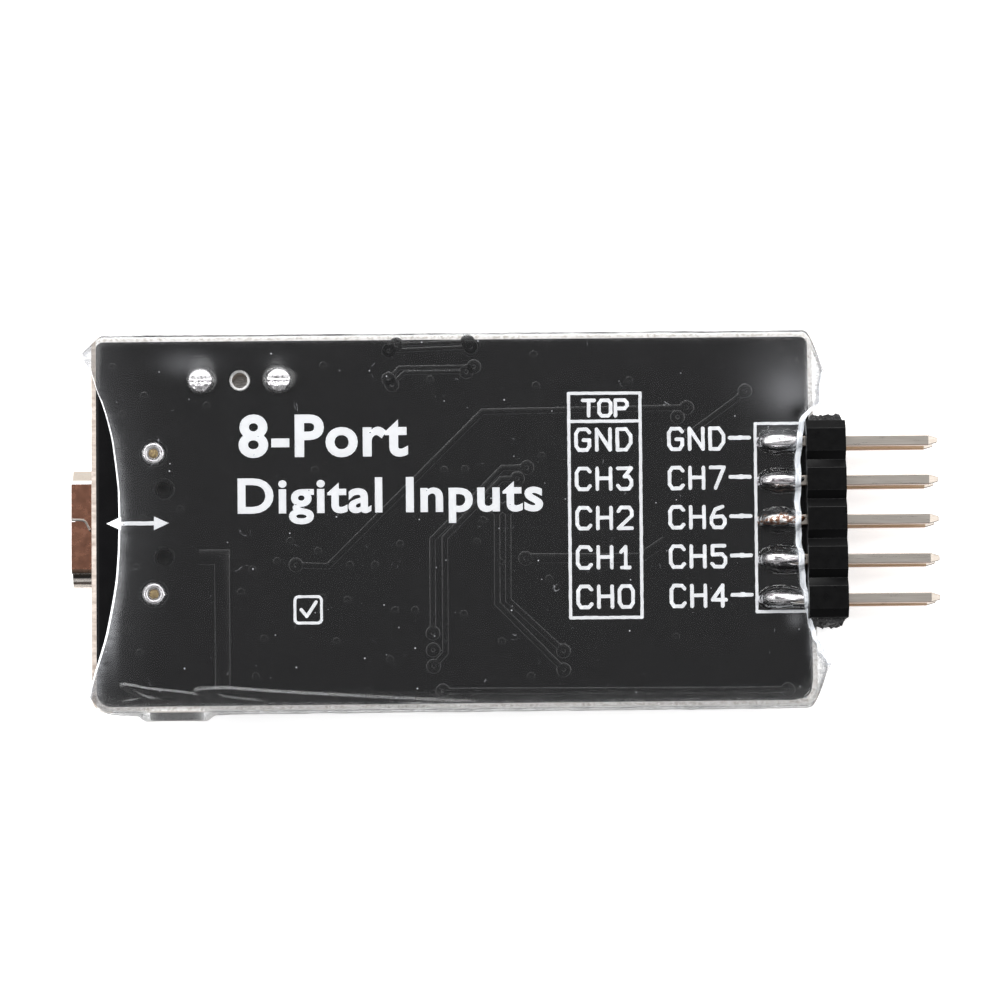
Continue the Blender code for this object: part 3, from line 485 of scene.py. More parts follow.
LOOKS = {
    "laminate": laminate_look(),
    "mask": mask_look(),
    "mask_step": mask_step_look(),
    "ink": ink_look(),
    "solder": solder_look(),
    "fluxed": fluxed_solder_look(),
    "joint": joint_look("bright_solder", 0.014, 0.74),
    "ring": joint_look("solder_ring", 0.004, 0.86),
    "stake": stake_look(),
    "shell": shell_look(),
    "steel": steel_look(),
    "gold": gold_look("pin_gold", (0.56, 0.51, 0.46), (0.66, 0.61, 0.56), (0.33, 0.22, 0.16)),
    # Painted shade: the far row of pins is a darker, warmer copy of the pin gold.
    "far_gold_painted_shade": gold_look("far_pin_gold_painted_shade", (0.55, 0.42, 0.28), (0.66, 0.52, 0.38), (0.32, 0.165, 0.08)),
    # Painted shade: the chamfered pin tips take a dark copy of the gold.
    "tip_gold_painted_shade": gold_look("pin_tip_gold", (0.26, 0.23, 0.20), (0.32, 0.29, 0.26), (0.20, 0.165, 0.14)),
    "tin": tin_look(),
    "nylon": nylon_look(),
    "nylon_edge": nylon_edge_look(),
    "torn": torn_nylon_look(),
    "epoxy": epoxy_look(),
    "film": film_look(),
    "film_edge": film_edge_look("film_cut_edge", (0.96, 0.975, 1.0), (1.5, 2.5, 1.5), (0.15, 0.5)),
    "film_fold": film_edge_look("film_folded_edge", (0.74, 0.77, 0.81), (3.0, 0.8, 6.0), (0.0, 0.50)),
    "insulator": plain_look("socket_insulator", (0.018, 0.018, 0.019), 0.5),
    "ceramic": plain_look("fired_ceramic", (0.42, 0.30, 0.18), 0.45, spread=0.12),
    "alumina": plain_look("alumina", (0.82, 0.82, 0.79), 0.5, spread=0.06),
    "resistor": plain_look("resistor_glaze", (0.014, 0.014, 0.016), 0.32),
    "tantalum": plain_look("yellow_moulding", (0.68, 0.42, 0.05), 0.5, spread=0.10),
    "stripe": plain_look("brown_stripe", (0.16, 0.06, 0.02), 0.55, spread=0.15),
    "fuse": plain_look("green_laminate", (0.03, 0.17, 0.06), 0.38),
    "lens": glass_look("led_lens", (0.93, 0.95, 0.90), 0.12),
    "quartz": glass_look("quartz_blank", (0.96, 0.97, 1.0)),
}


# ---------------------------------------------------------------- mesh helpers


WELD = 0.0005


def add_object(name, data):
    made = bpy.data.objects.new(name, data)
    bpy.context.scene.collection.objects.link(made)
    return made


def mesh_from(name, shape):
    """A mesh in metres from a bmesh in millimetres."""
    bmesh.ops.scale(shape, vec=(MM,) * 3, verts=shape.verts)
    mesh = bpy.data.meshes.new(name)
    shape.to_mesh(mesh)
    shape.free()
    return mesh


def shape_from(mesh, scale=1.0):
    shape = bmesh.new()
    shape.from_mesh(mesh)
    bmesh.ops.scale(shape, vec=(scale,) * 3, verts=shape.verts)
    return shape


def mesh_of(source):
    """The mesh of an object with its modifiers applied."""
    bpy.context.view_layer.update()
    graph = bpy.context.evaluated_depsgraph_get()
    return bpy.data.meshes.new_from_object(source.evaluated_get(graph))


def piece(name, shape, looks, body=ROOT, replaces=(), smooth=None):
    """Turns a bmesh in millimetres into a named piece that rides on a body."""
    bmesh.ops.recalc_face_normals(shape, faces=shape.faces)
    mesh = mesh_from(name, shape)
    for look in looks if isinstance(looks, (list, tuple)) else [looks]:
        mesh.materials.append(LOOKS[look])
    if smooth is not None:
        mesh.shade_smooth()
        mesh.set_sharp_from_angle(angle=math.radians(smooth))
    made = add_object(name, mesh)
    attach(made, body)
    if replaces:
        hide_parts(*replaces)
    return made


def welded(node):
    """A bmesh in millimetres of a CAD node, with its triangles merged back into flat faces."""
    shape = shape_from(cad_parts[node].data, 1 / MM)
    bmesh.ops.remove_doubles(shape, verts=shape.verts, dist=WELD)
    flatten(shape)
    return shape


def flatten(shape):
    """Merges faces that lie in one plane."""
    bmesh.ops.dissolve_limit(shape, angle_limit=math.radians(1.0), verts=shape.verts, edges=shape.edges)


def rounded(made, width, segments=2, limit="ANGLE"):
    """Breaks a piece's hard edges."""
    bevel = made.modifiers.new("edge", "BEVEL")
    bevel.width = width * MM
    bevel.segments = segments
    bevel.limit_method = limit
    bevel.angle_limit = math.radians(30)
    bevel.harden_normals = True
    return made


def refined(node, name, looks, edge=0.03, body=ROOT, rule=None, segments=2):
    """A piece with the CAD node's shape, softened edges, and a look for each face that a rule picks."""
    shape = welded(node)
    if rule:
        for face in shape.faces:
            face.material_index = rule(face.calc_center_median(), face.normal)
    made = piece(name, shape, looks, body=body, replaces=[node])
    return rounded(made, edge, segments)


def dress(node, look):
    """Gives a CAD node that keeps its shape its finish."""
    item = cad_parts[node]
    item.data.materials.clear()
    item.data.materials.append(LOOKS[look])


def add_box(shape, low, high):
    low, high = Vector(low), Vector(high)
    for corner in bmesh.ops.create_cube(shape, size=1.0)["verts"]:
        corner.co = (low + high) / 2 + corner.co * (high - low)


def bridge(shape, ring, after, looks=(0,)):
    """A band of faces between two closed rings of vertices, with its looks in turn."""
    for i in range(len(ring)):
        j = (i + 1) % len(ring)
        face = shape.faces.new((ring[i], ring[j], after[j], after[i]))
        face.material_index = looks[i % len(looks)]


def add_ribbon(shape, points, width, base, height, slope=0.0, closed=False, side_index=0):
    """A raised strip along a path on the board: flat top, sloping sides."""
    path = [Vector(p) for p in points]
    count = len(path)
    rings = []
    for i in range(count):
        before = path[i - 1] if i > 0 or closed else None
        after = path[(i + 1) % count] if i < count - 1 or closed else None
        into = (path[i] - before).normalized() if before is not None else (after - path[i]).normalized()
        out = (after - path[i]).normalized() if after is not None else into
        side = Vector((-(into.y + out.y), into.x + out.x)).normalized()
        mitre = max(abs(side.dot(Vector((-into.y, into.x)))), 0.5)
        half = width / 2
        ring = []
        for reach, z in ((-half, 0), (-half + slope, height), (half - slope, height), (half, 0)):
            spot = path[i] + side * (reach / mitre)
            ring.append(shape.verts.new((spot.x, spot.y, base + z)))
        rings.append(ring)
    pairs = list(zip(rings, rings[1:], strict=False))
    if closed:
        pairs.append((rings[-1], rings[0]))
    for ring, after in pairs:
        bridge(shape, ring, after, (side_index, 0))
    if not closed:
        shape.faces.new(rings[0][::-1])
        shape.faces.new(rings[-1])


def circle_points(centre, radius, count=32):
    turns = [2 * math.pi * i / count for i in range(count)]
    return [(centre[0] + radius * math.cos(a), centre[1] + radius * math.sin(a)) for a in turns]


def add_polygon(shape, outline, base, height):
    """A low flat-topped block."""
    low, high = ([shape.verts.new((x, y, z)) for x, y in outline] for z in (base, base + height))
    shape.faces.new(low[::-1])
    shape.faces.new(high)
    bridge(shape, low, high)


def rounded_rectangle(low, high, radii, steps=6):
    """A rectangle whose corners (+X+Y, -X+Y, -X-Y, +X-Y) have one radius, or one each."""
    radii = radii if isinstance(radii, tuple) else (radii,) * 4
    middle = ((low[0] + high[0]) / 2, (low[1] + high[1]) / 2)
    points = []
    for turn, ((sx, sy), radius) in enumerate(zip(((1, 1), (-1, 1), (-1, -1), (1, -1)), radii, strict=True)):
        half = ((high[0] - low[0]) / 2 - radius, (high[1] - low[1]) / 2 - radius)
        for i in range(steps + 1):
            angle = math.pi / 2 * (turn + i / steps)
            x = middle[0] + sx * half[0] + radius * math.cos(angle)
            points.append((x, middle[1] + sy * half[1] + radius * math.sin(angle)))
    return points


STROKE_SECTION = 0.24  # length of the straight bits in an uneven stroke


def capsule(start, end, width, ragged, random):
    """The outline of a stroke with round ends and slightly uneven sides."""
    start, end = np.array(start), np.array(end)
    along = end - start
    length = float(np.hypot(*along))
    along = along / length
    side = np.array((-along[1], along[0])) * width / 2
    sections = max(int(length / STROKE_SECTION), 1)
    points = []
    for first, last, sign in ((start, end, -1), (end, start, 1)):
        for i in range(sections + 1):
            points.append(first + (last - first) * i / sections + side * sign)
        for i in range(1, 6):
            angle = math.pi * i / 6
            points.append(last + side * sign * math.cos(angle) - sign * along * width / 2 * math.sin(angle))
    return [tuple(point + random.uniform(-ragged, ragged, 2)) for point in points]


def sheet_with_holes(name, outline, holes, base, thickness, look):
    """A flat sheet with round holes, made as a filled curve."""
    curve = bpy.data.curves.new(name, "CURVE")
    curve.dimensions = "2D"
    curve.fill_mode = "BOTH"
    curve.extrude = thickness / 2 * MM
    for points in [outline, *[circle_points(centre, radius, 40) for centre, radius in holes]]:
        spline = curve.splines.new("POLY")
        spline.points.add(len(points) - 1)
        for point, (x, y) in zip(spline.points, points, strict=True):
            point.co = (x * MM, y * MM, 0, 1)
        spline.use_cyclic_u = True
    source = add_object(name + "_outline", curve)
    shape = shape_from(mesh_of(source), 1 / MM)
    bmesh.ops.translate(shape, verts=shape.verts, vec=(0, 0, base + thickness / 2))
    bmesh.ops.remove_doubles(shape, verts=shape.verts, dist=WELD)
    bpy.data.objects.remove(source)
    return piece(name, shape, look)


def step_up(value, start, end):
    """A soft step from 0 to 1 between two values."""
    t = np.clip((value - start) / (end - start), 0.0, 1.0)
    return t * t * (3 - 2 * t)


def smooth_noise(count_x, count_y, cells, seed):
    """Soft random hills between -1 and 1 on a grid, the same each run."""
    random = np.random.default_rng(seed)
    coarse = random.uniform(-1, 1, (cells[0] + 3, cells[1] + 3))
    gx = np.linspace(0, cells[0], count_x)
    gy = np.linspace(0, cells[1], count_y)
    ix, iy = gx.astype(int), gy.astype(int)
    fx, fy = gx - ix, gy - iy
    fx, fy = (fx * fx * (3 - 2 * fx))[:, None], (fy * fy * (3 - 2 * fy))[None, :]
    a, b = coarse[np.ix_(ix, iy)], coarse[np.ix_(ix + 1, iy)]
    c, d = coarse[np.ix_(ix, iy + 1)], coarse[np.ix_(ix + 1, iy + 1)]
    return (a * (1 - fx) + b * fx) * (1 - fy) + (c * (1 - fx) + d * fx) * fy


# ---------------------------------------------------------------- board


STAKES = [centre_of(f"usb_stake_solder_{side}") for side in SIDES]
CRYSTAL_LEADS = [centre_of(f"crystal_lead_{side}") for side in SIDES]
CRYSTAL_HOLE = ((CRYSTAL_LEADS[0][0] + CRYSTAL_LEADS[1][0]) / 2, CRYSTAL_LEADS[0][1])
PEG_X = STAKES[0][0] + 0.65
PEG_Y = 2.2
PEGS = [(PEG_X, PEG_Y), (PEG_X, -PEG_Y)]


def board_outline(inset, radii):
    low, high = BOARD_LOW + inset, BOARD_HIGH - inset
    return rounded_rectangle(low[:2].tolist(), high[:2].tolist(), radii, 8)


def board():
    dress("circuit_board", "laminate")
    outline = board_outline(MASK_INSET, MASK_CORNERS)
    holes = [(c, 0.62) for c in STAKES] + [(c, 0.47) for c in PEGS]
    holes += [(c, 0.5) for c in CRYSTAL_LEADS] + [(CRYSTAL_HOLE, 0.56)]
    for side, base in (("label", BOARD_TOP), ("component", BOARD_BOTTOM - MASK_THICKNESS)):
        sheet_with_holes(f"{side}_side_mask", outline, holes, base, MASK_THICKNESS, "mask")
    hole_barrels()
    copper_relief()
    component_side_copper()


def hole_barrels():
    """The crystal's spare plated hole, the socket's pegs in their holes, and rings round the holes."""
    shape = bmesh.new()
    add_tube(shape, CRYSTAL_HOLE, 0.70, 0.5, BOARD_TOP + 0.002, 0.05)
    piece("plated_hole_ring", shape, "tin", smooth=40)

    shape = bmesh.new()
    for centre in PEGS:
        profile = [(0.465, -0.7), (0.465, -0.16), (0.42, -0.12), (0.22, -0.14), (0.05, -0.16)]
        add_turned(shape, centre, [(r, BOARD_TOP + z) for r, z in profile], 32)
    piece("usb_peg_tips", shape, "nylon", smooth=40)

    shape = bmesh.new()
    for centre in [*PEGS, *STAKES, *CRYSTAL_LEADS]:
        ring = circle_points(centre, 0.66 if centre in PEGS else 0.90, 40)
        add_ribbon(shape, ring, 0.12, RELIEF_BASE, 0.022, 0.045, closed=True, side_index=1)
    piece("mask_rings", shape, ["mask", "mask_step"], smooth=20)


def turned_rings(shape, centre, profile, count):
    """A ring of vertices for each (radius, z)."""
    return [[shape.verts.new((x, y, z)) for x, y in circle_points(centre, r, count)] for r, z in profile]


def add_turned(shape, centre, profile, count, shiny=()):
    """A solid turned about a vertical line: (radius, z) from its rim to its middle."""
    rings = turned_rings(shape, centre, profile, count)
    for k, (ring, after) in enumerate(zip(rings, rings[1:], strict=False)):
        bridge(shape, ring, after, (int(k in shiny),))
    shape.faces.new(rings[-1])
    shape.faces.new(rings[0][::-1])


def add_tube(shape, centre, outer, inner, base, height, count=40):
    """A flat ring with a rounded rim."""
    profile = [(inner, 0), (inner, height * 0.7), (inner + 0.04, height), (outer - 0.05, height), (outer, 0)]
    close_up(shape, turned_rings(shape, centre, [(r, base + z) for r, z in profile], count))


def close_up(shape, rings):
    """Bands from each ring of vertices to the next, and from the last to the first."""
    for ring, after in zip(rings, rings[1:] + rings[:1], strict=True):
        bridge(shape, ring, after)


VIA_RADIUS = 0.26
PAD_RADIUS = 0.48
TRACE_WIDTH = 0.42
VIA_COUNT = 46
VIA_SPACING = 1.2

WIDE_ROUTE = ([(4.58, -2.46), (11.94, -2.51), (13.57, -1.43)], 0.66)
ROUTES = [
    # Each trace on the label side: its path and its width
    ([(-4.08, 11.05), (1.2, 11.25)], 0.30),
    ([(-3.6, 11.45), (1.0, 11.6)], 0.30),
    ([(-4.1, 9.22), (-3.4, 9.95), (1.39, 9.98)], 0.30),
    ([(-3.9, 8.85), (-3.1, 9.62), (0.9, 9.66)], 0.30),
    ([(15.1, 7.21), (1.92, 7.05), (-8.1, -2.86), (-10.17, -2.75)], TRACE_WIDTH),
    ([(4.74, 3.41), (3.15, 3.39), (-1.40, -1.2), (-1.42, -7.22)], TRACE_WIDTH),
    ([(4.12, 2.70), (3.06, 2.66), (-0.60, -1.1), (-0.62, -8.5), (-1.40, -9.35)], TRACE_WIDTH),
    ([(2.78, 0.8), (2.73, -5.36), (6.94, -9.66)], TRACE_WIDTH),
    ([(3.50, 0.8), (3.44, -5.16), (6.94, -8.45)], TRACE_WIDTH),
    WIDE_ROUTE,
    ([(-0.82, -10.94), (21.33, -11.08)], TRACE_WIDTH),
    ([(15.10, 5.35), (15.75, 5.87), (18.24, 7.67), (18.89, 8.25)], TRACE_WIDTH),
    ([(-16.4, -2.2), (-14.9, -2.2), (-14.9, -10.8)], 1.0),
]
PADS = [(-1.42, -8.3), (1.2, 11.25), (1.0, 11.6), (-4.08, 11.05), (14.5, 6.6)]
VIAS = [(-8.9, 3.37), (-8.75, -1.87), (-11.38, -2.48), (-13.7, -4.46), (-6.7, -2.79), (-5.1, -2.8),
        (-3.48, -1.46), (-0.6, 3.29), (0.75, 3.34), (1.87, 0.03), (1.47, -1.38), (0.58, -6.01),
        (6.07, -3.81), (5.72, 4.14), (22.45, 10.2), (-21.88, 10.16)]


def add_via(shape, centre, radius=VIA_RADIUS):
    """A tented via: a raised ring with a dimple."""
    profile = [(radius, 0), (radius - TRACE_SLOPE, TRACE_HEIGHT), (0.15, TRACE_HEIGHT), (0.08, 0.002)]
    shiny = (0, 2) if radius == PAD_RADIUS else ()
    add_turned(shape, centre, [(r, MASK_TOP + z) for r, z in profile], 24, shiny)


def copper_relief():
    """Traces and tented vias that stand up under the mask on the label side."""
    shape = bmesh.new()
    for route, width in ROUTES:
        add_ribbon(shape, route, width, RELIEF_BASE, TRACE_HEIGHT, TRACE_SLOPE, side_index=1)
    add_ribbon(shape, board_outline(MASK_INSET + 0.12, 0.8), 0.09, RELIEF_BASE, 0.010, 0.035, closed=True)
    piece("copper_under_mask", shape, ["mask", "mask_step"], smooth=20)

    shape = bmesh.new()
    pads = [end for route, width in ROUTES if width <= TRACE_WIDTH for end in (route[0], route[-1])]
    pads += [*PADS, WIDE_ROUTE[0][0]]
    for centre in pads:
        add_via(shape, centre, PAD_RADIUS)
    vias = list(VIAS)
    taken = pads + vias + STAKES + PEGS + CRYSTAL_LEADS + [CRYSTAL_HOLE]
    random = np.random.default_rng(7)
    while len(vias) < VIA_COUNT:
        x = float(random.uniform(-21.5, 21.5))
        y = float(random.uniform(-11, 11))
        near_text = -14.5 < x < 12.5 and -1.0 < y < 8.5
        near_labels = 6.8 < x < 21.8 and -6.8 < y < 8.6
        if near_text or near_labels:
            continue
        if min(math.hypot(x - a, y - b) for a, b in taken) > VIA_SPACING:
            vias.append((x, y))
            taken.append((x, y))
    for centre in vias:
        add_via(shape, centre)
    piece("tented_vias", shape, ["mask", "mask_step"], smooth=30)


CHIP_LEADS = 28  # on each side of the controller
LEAD_PITCH = 0.635
PAD_THICKNESS = 0.015


def component_side_copper():
    """Traces fanning out from the controller, and the tinned pads that the parts stand on."""
    level = BOARD_BOTTOM - MASK_THICKNESS
    chip_low, chip_high = node_box("controller_chip")
    middle = (chip_low[1] + chip_high[1]) / 2
    shape = bmesh.new()
    for i in range(CHIP_LEADS):
        y = middle + (i - (CHIP_LEADS - 1) / 2) * LEAD_PITCH
        for edge, sign in ((chip_low[0], -1), (chip_high[0], 1)):
            if i % 3 == 2:
                continue
            out = 0.5 + 0.28 * (i % 5)
            bend = 0.5 * (1 if 2 * i >= CHIP_LEADS else -1)
            start = (edge + sign * 0.1, y)
            path = [start, (start[0] + sign * out, y), (start[0] + sign * (out + 0.5), y + bend)]
            if i % 2:
                path.append((start[0] + sign * (out + 1.3), y + bend))
            add_ribbon(shape, path, 0.18, level + 0.002, -TRACE_HEIGHT, 0.03)
    piece("component_side_traces", shape, "mask", smooth=20)

    shape = bmesh.new()
    base = level - PAD_THICKNESS + 0.004

    def add_pad(low, high, radius):
        add_polygon(shape, rounded_rectangle(low, high, radius), base, PAD_THICKNESS)

    reach, cap, margin = 0.28, 0.55, 0.05
    for node in ("input_fuse", *[f"bypass_capacitor_{i + 1}" for i in range(4)], "led_resistor_1",
                 "led_resistor_2", "power_led", "activity_led", "bulk_capacitor"):
        low, high = node_box(node)
        for start, end in ((low[0] - reach, low[0] + cap), (high[0] - cap, high[0] + reach)):
            add_pad((start, low[1] - margin), (end, high[1] + margin), 0.12)
    for i in range(CHIP_LEADS):
        y = middle + (i - (CHIP_LEADS - 1) / 2) * LEAD_PITCH
        for edge, sign in ((chip_low[0], -1), (chip_high[0], 1)):
            start, end = sorted((edge + sign * 0.3, edge - sign * 1.0))
            add_pad((start, y - 0.17), (end, y + 0.17), 0.08)
    piece("tinned_pads", shape, "tin")


# ---------------------------------------------------------------- legend


# Each letter's strokes, in a box from (0, 0) to (1, 1)
GLYPHS = {
    "C": [[(1, 0.85), (0.8, 1), (0.2, 1), (0, 0.8), (0, 0.2), (0.2, 0), (0.8, 0), (1, 0.15)]],
    "H": [[(0, 0), (0, 1)], [(1, 0), (1, 1)], [(0, 0.52), (1, 0.52)]],
    "G": [[(1, 0.85), (0.8, 1), (0.2, 1), (0, 0.8), (0, 0.2), (0.2, 0), (0.8, 0), (1, 0.2), (1, 0.48),
           (0.55, 0.48)]],
    "N": [[(0, 0), (0, 1), (1, 0), (1, 1)]],
    "D": [[(0, 0), (0, 1), (0.65, 1), (1, 0.68), (1, 0.32), (0.65, 0), (0, 0)]],
    "T": [[(0, 1), (1, 1)], [(0.5, 1), (0.5, 0)]],
    "O": [[(0.2, 0), (0, 0.2), (0, 0.8), (0.2, 1), (0.8, 1), (1, 0.8), (1, 0.2), (0.8, 0), (0.2, 0)]],
    "P": [[(0, 0), (0, 1), (0.8, 1), (1, 0.84), (1, 0.62), (0.8, 0.46), (0, 0.46)]],
    "0": [[(0.2, 0), (0, 0.2), (0, 0.8), (0.2, 1), (0.8, 1), (1, 0.8), (1, 0.2), (0.8, 0), (0.2, 0)]],
    "1": [[(0.15, 0.75), (0.5, 1), (0.5, 0)], [(0.2, 0), (0.8, 0)]],
    "2": [[(0, 0.82), (0.2, 1), (0.8, 1), (1, 0.82), (1, 0.6), (0, 0), (1, 0)]],
    "3": [[(0, 1), (1, 1), (0.5, 0.6), (0.8, 0.6), (1, 0.42), (1, 0.18), (0.8, 0), (0.2, 0), (0, 0.16)]],
    "4": [[(0.75, 0), (0.75, 1), (0, 0.3), (1, 0.3)]],
    "5": [[(0.95, 1), (0.05, 1), (0.05, 0.58), (0.75, 0.6), (1, 0.42), (1, 0.18), (0.8, 0), (0.2, 0),
           (0, 0.14)]],
    "6": [[(0.85, 1), (0.3, 0.86), (0, 0.45), (0, 0.2), (0.2, 0), (0.8, 0), (1, 0.18), (1, 0.38),
           (0.8, 0.54), (0.05, 0.5)]],
    "7": [[(0, 1), (1, 1), (0.35, 0)]],
}
INK_STROKE = 0.235
INK_LAYER = 0.00004
INK_RAGGED = 0.012
LABEL_HEIGHT = 1.34
LABEL_WIDTH = 0.86
LABEL_STEP = 1.33
LEFT_LABELS = ("GND", "CH3", "CH2", "CH1", "CH0")
RIGHT_LABELS = ("GND", "CH7", "CH6", "CH5", "CH4")
LEGEND_ROWS = [5.17 - i * PITCH for i in range(POSITIONS)]
LEGEND_BASE = MASK_TOP + 0.001


class Ink:
    """Collects printed strokes, each a hair higher than the last, so that crossings don't share a surface."""

    def __init__(self):
        self.shape = bmesh.new()
        self.layer = 0
        self.random = np.random.default_rng(11)

    def level(self):
        self.layer += 1
        return INK_HEIGHT + INK_LAYER * self.layer

    def stroke(self, points, width=INK_STROKE, closed=False):
        ends = points[1:] + points[:1] if closed else points[1:]
        for start, end in zip(points, ends, strict=False):
            self.fill(capsule(start, end, width, INK_RAGGED, self.random))

    def fill(self, outline):
        add_polygon(self.shape, outline, LEGEND_BASE, self.level())

    def word(self, text, left, middle, width=LABEL_WIDTH, height=LABEL_HEIGHT, step=LABEL_STEP):
        for i, letter in enumerate(text):
            for line in GLYPHS[letter]:
                spots = [(left + i * step + x * width, middle + (y - 0.5) * height) for x, y in line]
                if spots[0] == spots[-1]:
                    self.stroke(spots[:-1], closed=True)
                else:
                    self.stroke(spots)


def legend():
    ink = Ink()
    channel_table(ink)
    header_outline(ink)
    two_way_arrow(ink, (-22.3, -18.3), 0.02)
    tick_box(ink, (-9.4, -5.65))
    piece("legend_labels", ink.shape, "ink")
    lettering("legend_line_1", "8-Port", (-13.8, -2.9), 4.32, 7.0, 0.030)
    lettering("legend_line_2", "Digital Inputs", (-13.88, 5.75), 0.66, 2.86, 0.026)


def channel_table(ink):
    low, high, divider = -6.33, 8.18, 6.36
    ink.stroke([(7.43, low), (12.02, low), (12.09, high), (7.48, high)], width=0.205, closed=True)
    ink.stroke([(7.46, divider), (12.07, divider)], width=0.205)
    ink.word("TOP", 8.39, 7.22, width=0.75, height=1.0, step=1.05)
    for labels, left in ((LEFT_LABELS, 7.93), (RIGHT_LABELS, 13.92)):
        for text, row in zip(labels, LEGEND_ROWS, strict=True):
            ink.word(text, left, row)


def header_outline(ink):
    top, bottom = 6.12, -6.05
    end = BOARD_HIGH[0] - 0.7
    ink.stroke([(end, top), (19.5, top), (19.42, bottom), (end, bottom)], width=0.19)
    for row in LEGEND_ROWS:
        ink.stroke([(17.85, row + 0.04), (19.1, row + 0.04)], width=0.25)
        ink.stroke([(18.45, row + 0.05), (18.6, row + 0.05)], width=0.30)


def two_way_arrow(ink, span, y):
    """A plain two-way arrow: data goes in and out of the socket."""
    head, half = 0.95, 0.44
    left, right = span
    ink.stroke([(left + 0.6, y), (right - 0.6, y)], width=0.25)
    ink.fill([(right, y), (right - head, y + half), (right - head, y - half)])
    ink.fill([(left, y), (left + head, y - half), (left + head, y + half)])


def tick_box(ink, centre):
    x, y = centre
    half = 0.85
    ink.stroke(rounded_rectangle((x - half, y - half), (x + half, y + half), 0.25), width=0.18, closed=True)
    ink.stroke([(x - 0.45, y + 0.02), (x - 0.1, y - 0.42), (x + 0.5, y + 0.5)], width=0.22)


def lettering(name, text, span, baseline, top, weight):
    """Bold printed words fitted between two ends, on a baseline."""
    source = bpy.data.curves.new(name, "FONT")
    source.body = text
    source.size = 1.0
    source.offset = weight
    source.space_character = 1.08
    source.resolution_u = 5
    source.extrude = 0.02
    holder = add_object(name + "_source", source)
    shape = shape_from(mesh_of(holder))
    bpy.data.objects.remove(holder)
    spots = np.array([v.co for v in shape.verts])
    low, high = spots.min(0), spots.max(0)
    across = (span[1] - span[0]) / (high[0] - low[0])
    tall = (top - baseline) / high[1]
    for vert in shape.verts:
        share = (vert.co.z - low[2]) / (high[2] - low[2])
        vert.co = (
            span[0] + (vert.co.x - low[0]) * across,
            baseline + vert.co.y * tall,
            LEGEND_BASE + share * INK_HEIGHT,
        )
    bmesh.ops.remove_doubles(shape, verts=shape.verts, dist=0.002)
    piece(name, shape, "ink")


# ---------------------------------------------------------------- solder


def add_sheet(shape, grid):
    """A solid from a grid of points: the grid itself, closed by one face along its rim."""
    rows = [[shape.verts.new(point) for point in line] for line in grid]
    for ring, after in zip(rows, rows[1:], strict=False):
        for j in range(len(ring) - 1):
            shape.faces.new((ring[j], after[j], after[j + 1], ring[j + 1]))
    rim = [r[0] for r in rows] + rows[-1][1:] + [r[-1] for r in reversed(rows[:-1])] + rows[0][-2:0:-1]
    shape.faces.new(rim[::-1])


JOINT_BASE = BOARD_TOP + 0.015
JOINT_REACH = (19.52, 22.75)
CRYSTAL_RADIUS = 0.80  # of the solder round a crystal's lead
JOINT_SHIFT = 0.05  # the solder crept to the +Y side of every pin
JOINT_HALF = (0.64, 0.58, 0.57, 0.57, 0.57)


def joint_middle(index):
    return centre_of(f"header_pin_upper_{index + 1}")[1] + JOINT_SHIFT


def joint_height(index, x, y):
    """Height above the board of the leaf of solder round a header pin's tail."""
    pin_top = node_box(f"header_pin_upper_{index + 1}")[1][2] - BOARD_TOP
    u = np.clip((x - JOINT_REACH[0]) / (JOINT_REACH[1] - JOINT_REACH[0]), 0.0, 1.0)
    width = joint_half_width(index, u)
    crest = pin_top + 0.27
    rise = 1 - (1 - np.minimum(u / 0.34, 1.0)) ** 2.1
    height = crest * rise - (crest - pin_top - 0.09) * step_up(u, 0.45, 0.85) - 0.22 * step_up(u, 0.88, 1.0)
    v = np.clip(np.abs(y - joint_middle(index)) / width, 0.0, 1.0)
    return height * (1 - v**2.9) ** 0.6


def joint_half_width(index, u):
    leaf = np.sin(np.pi * (0.02 + 0.93 * u) ** 0.80)
    return np.maximum(JOINT_HALF[index] * np.abs(leaf) ** 0.60, 0.03)


def header_joint(index):
    """A leaf of solder that swallows the pin's tail and thins out along the pin."""
    along, across = 44, 30
    u = np.linspace(0, 1, along + 1)[:, None]
    v = np.sin(np.linspace(-1, 1, across + 1) * math.pi / 2)[None, :]
    x = JOINT_REACH[0] + (JOINT_REACH[1] - JOINT_REACH[0]) * u + 0 * v
    y = joint_middle(index) + joint_half_width(index, u) * v
    hills = smooth_noise(along + 1, across + 1, (4, 5), 60 + index)
    z = joint_height(index, x, y) * (1 + 0.07 * hills)
    grid = np.stack([x, y, JOINT_BASE + z], axis=2)
    shape = bmesh.new()
    add_sheet(shape, grid.tolist())
    look = "fluxed" if index == 2 else "solder"
    node = f"header_solder_upper_{index + 1}"
    piece(f"header_joint_{index + 1}", shape, look, replaces=[node], smooth=60)


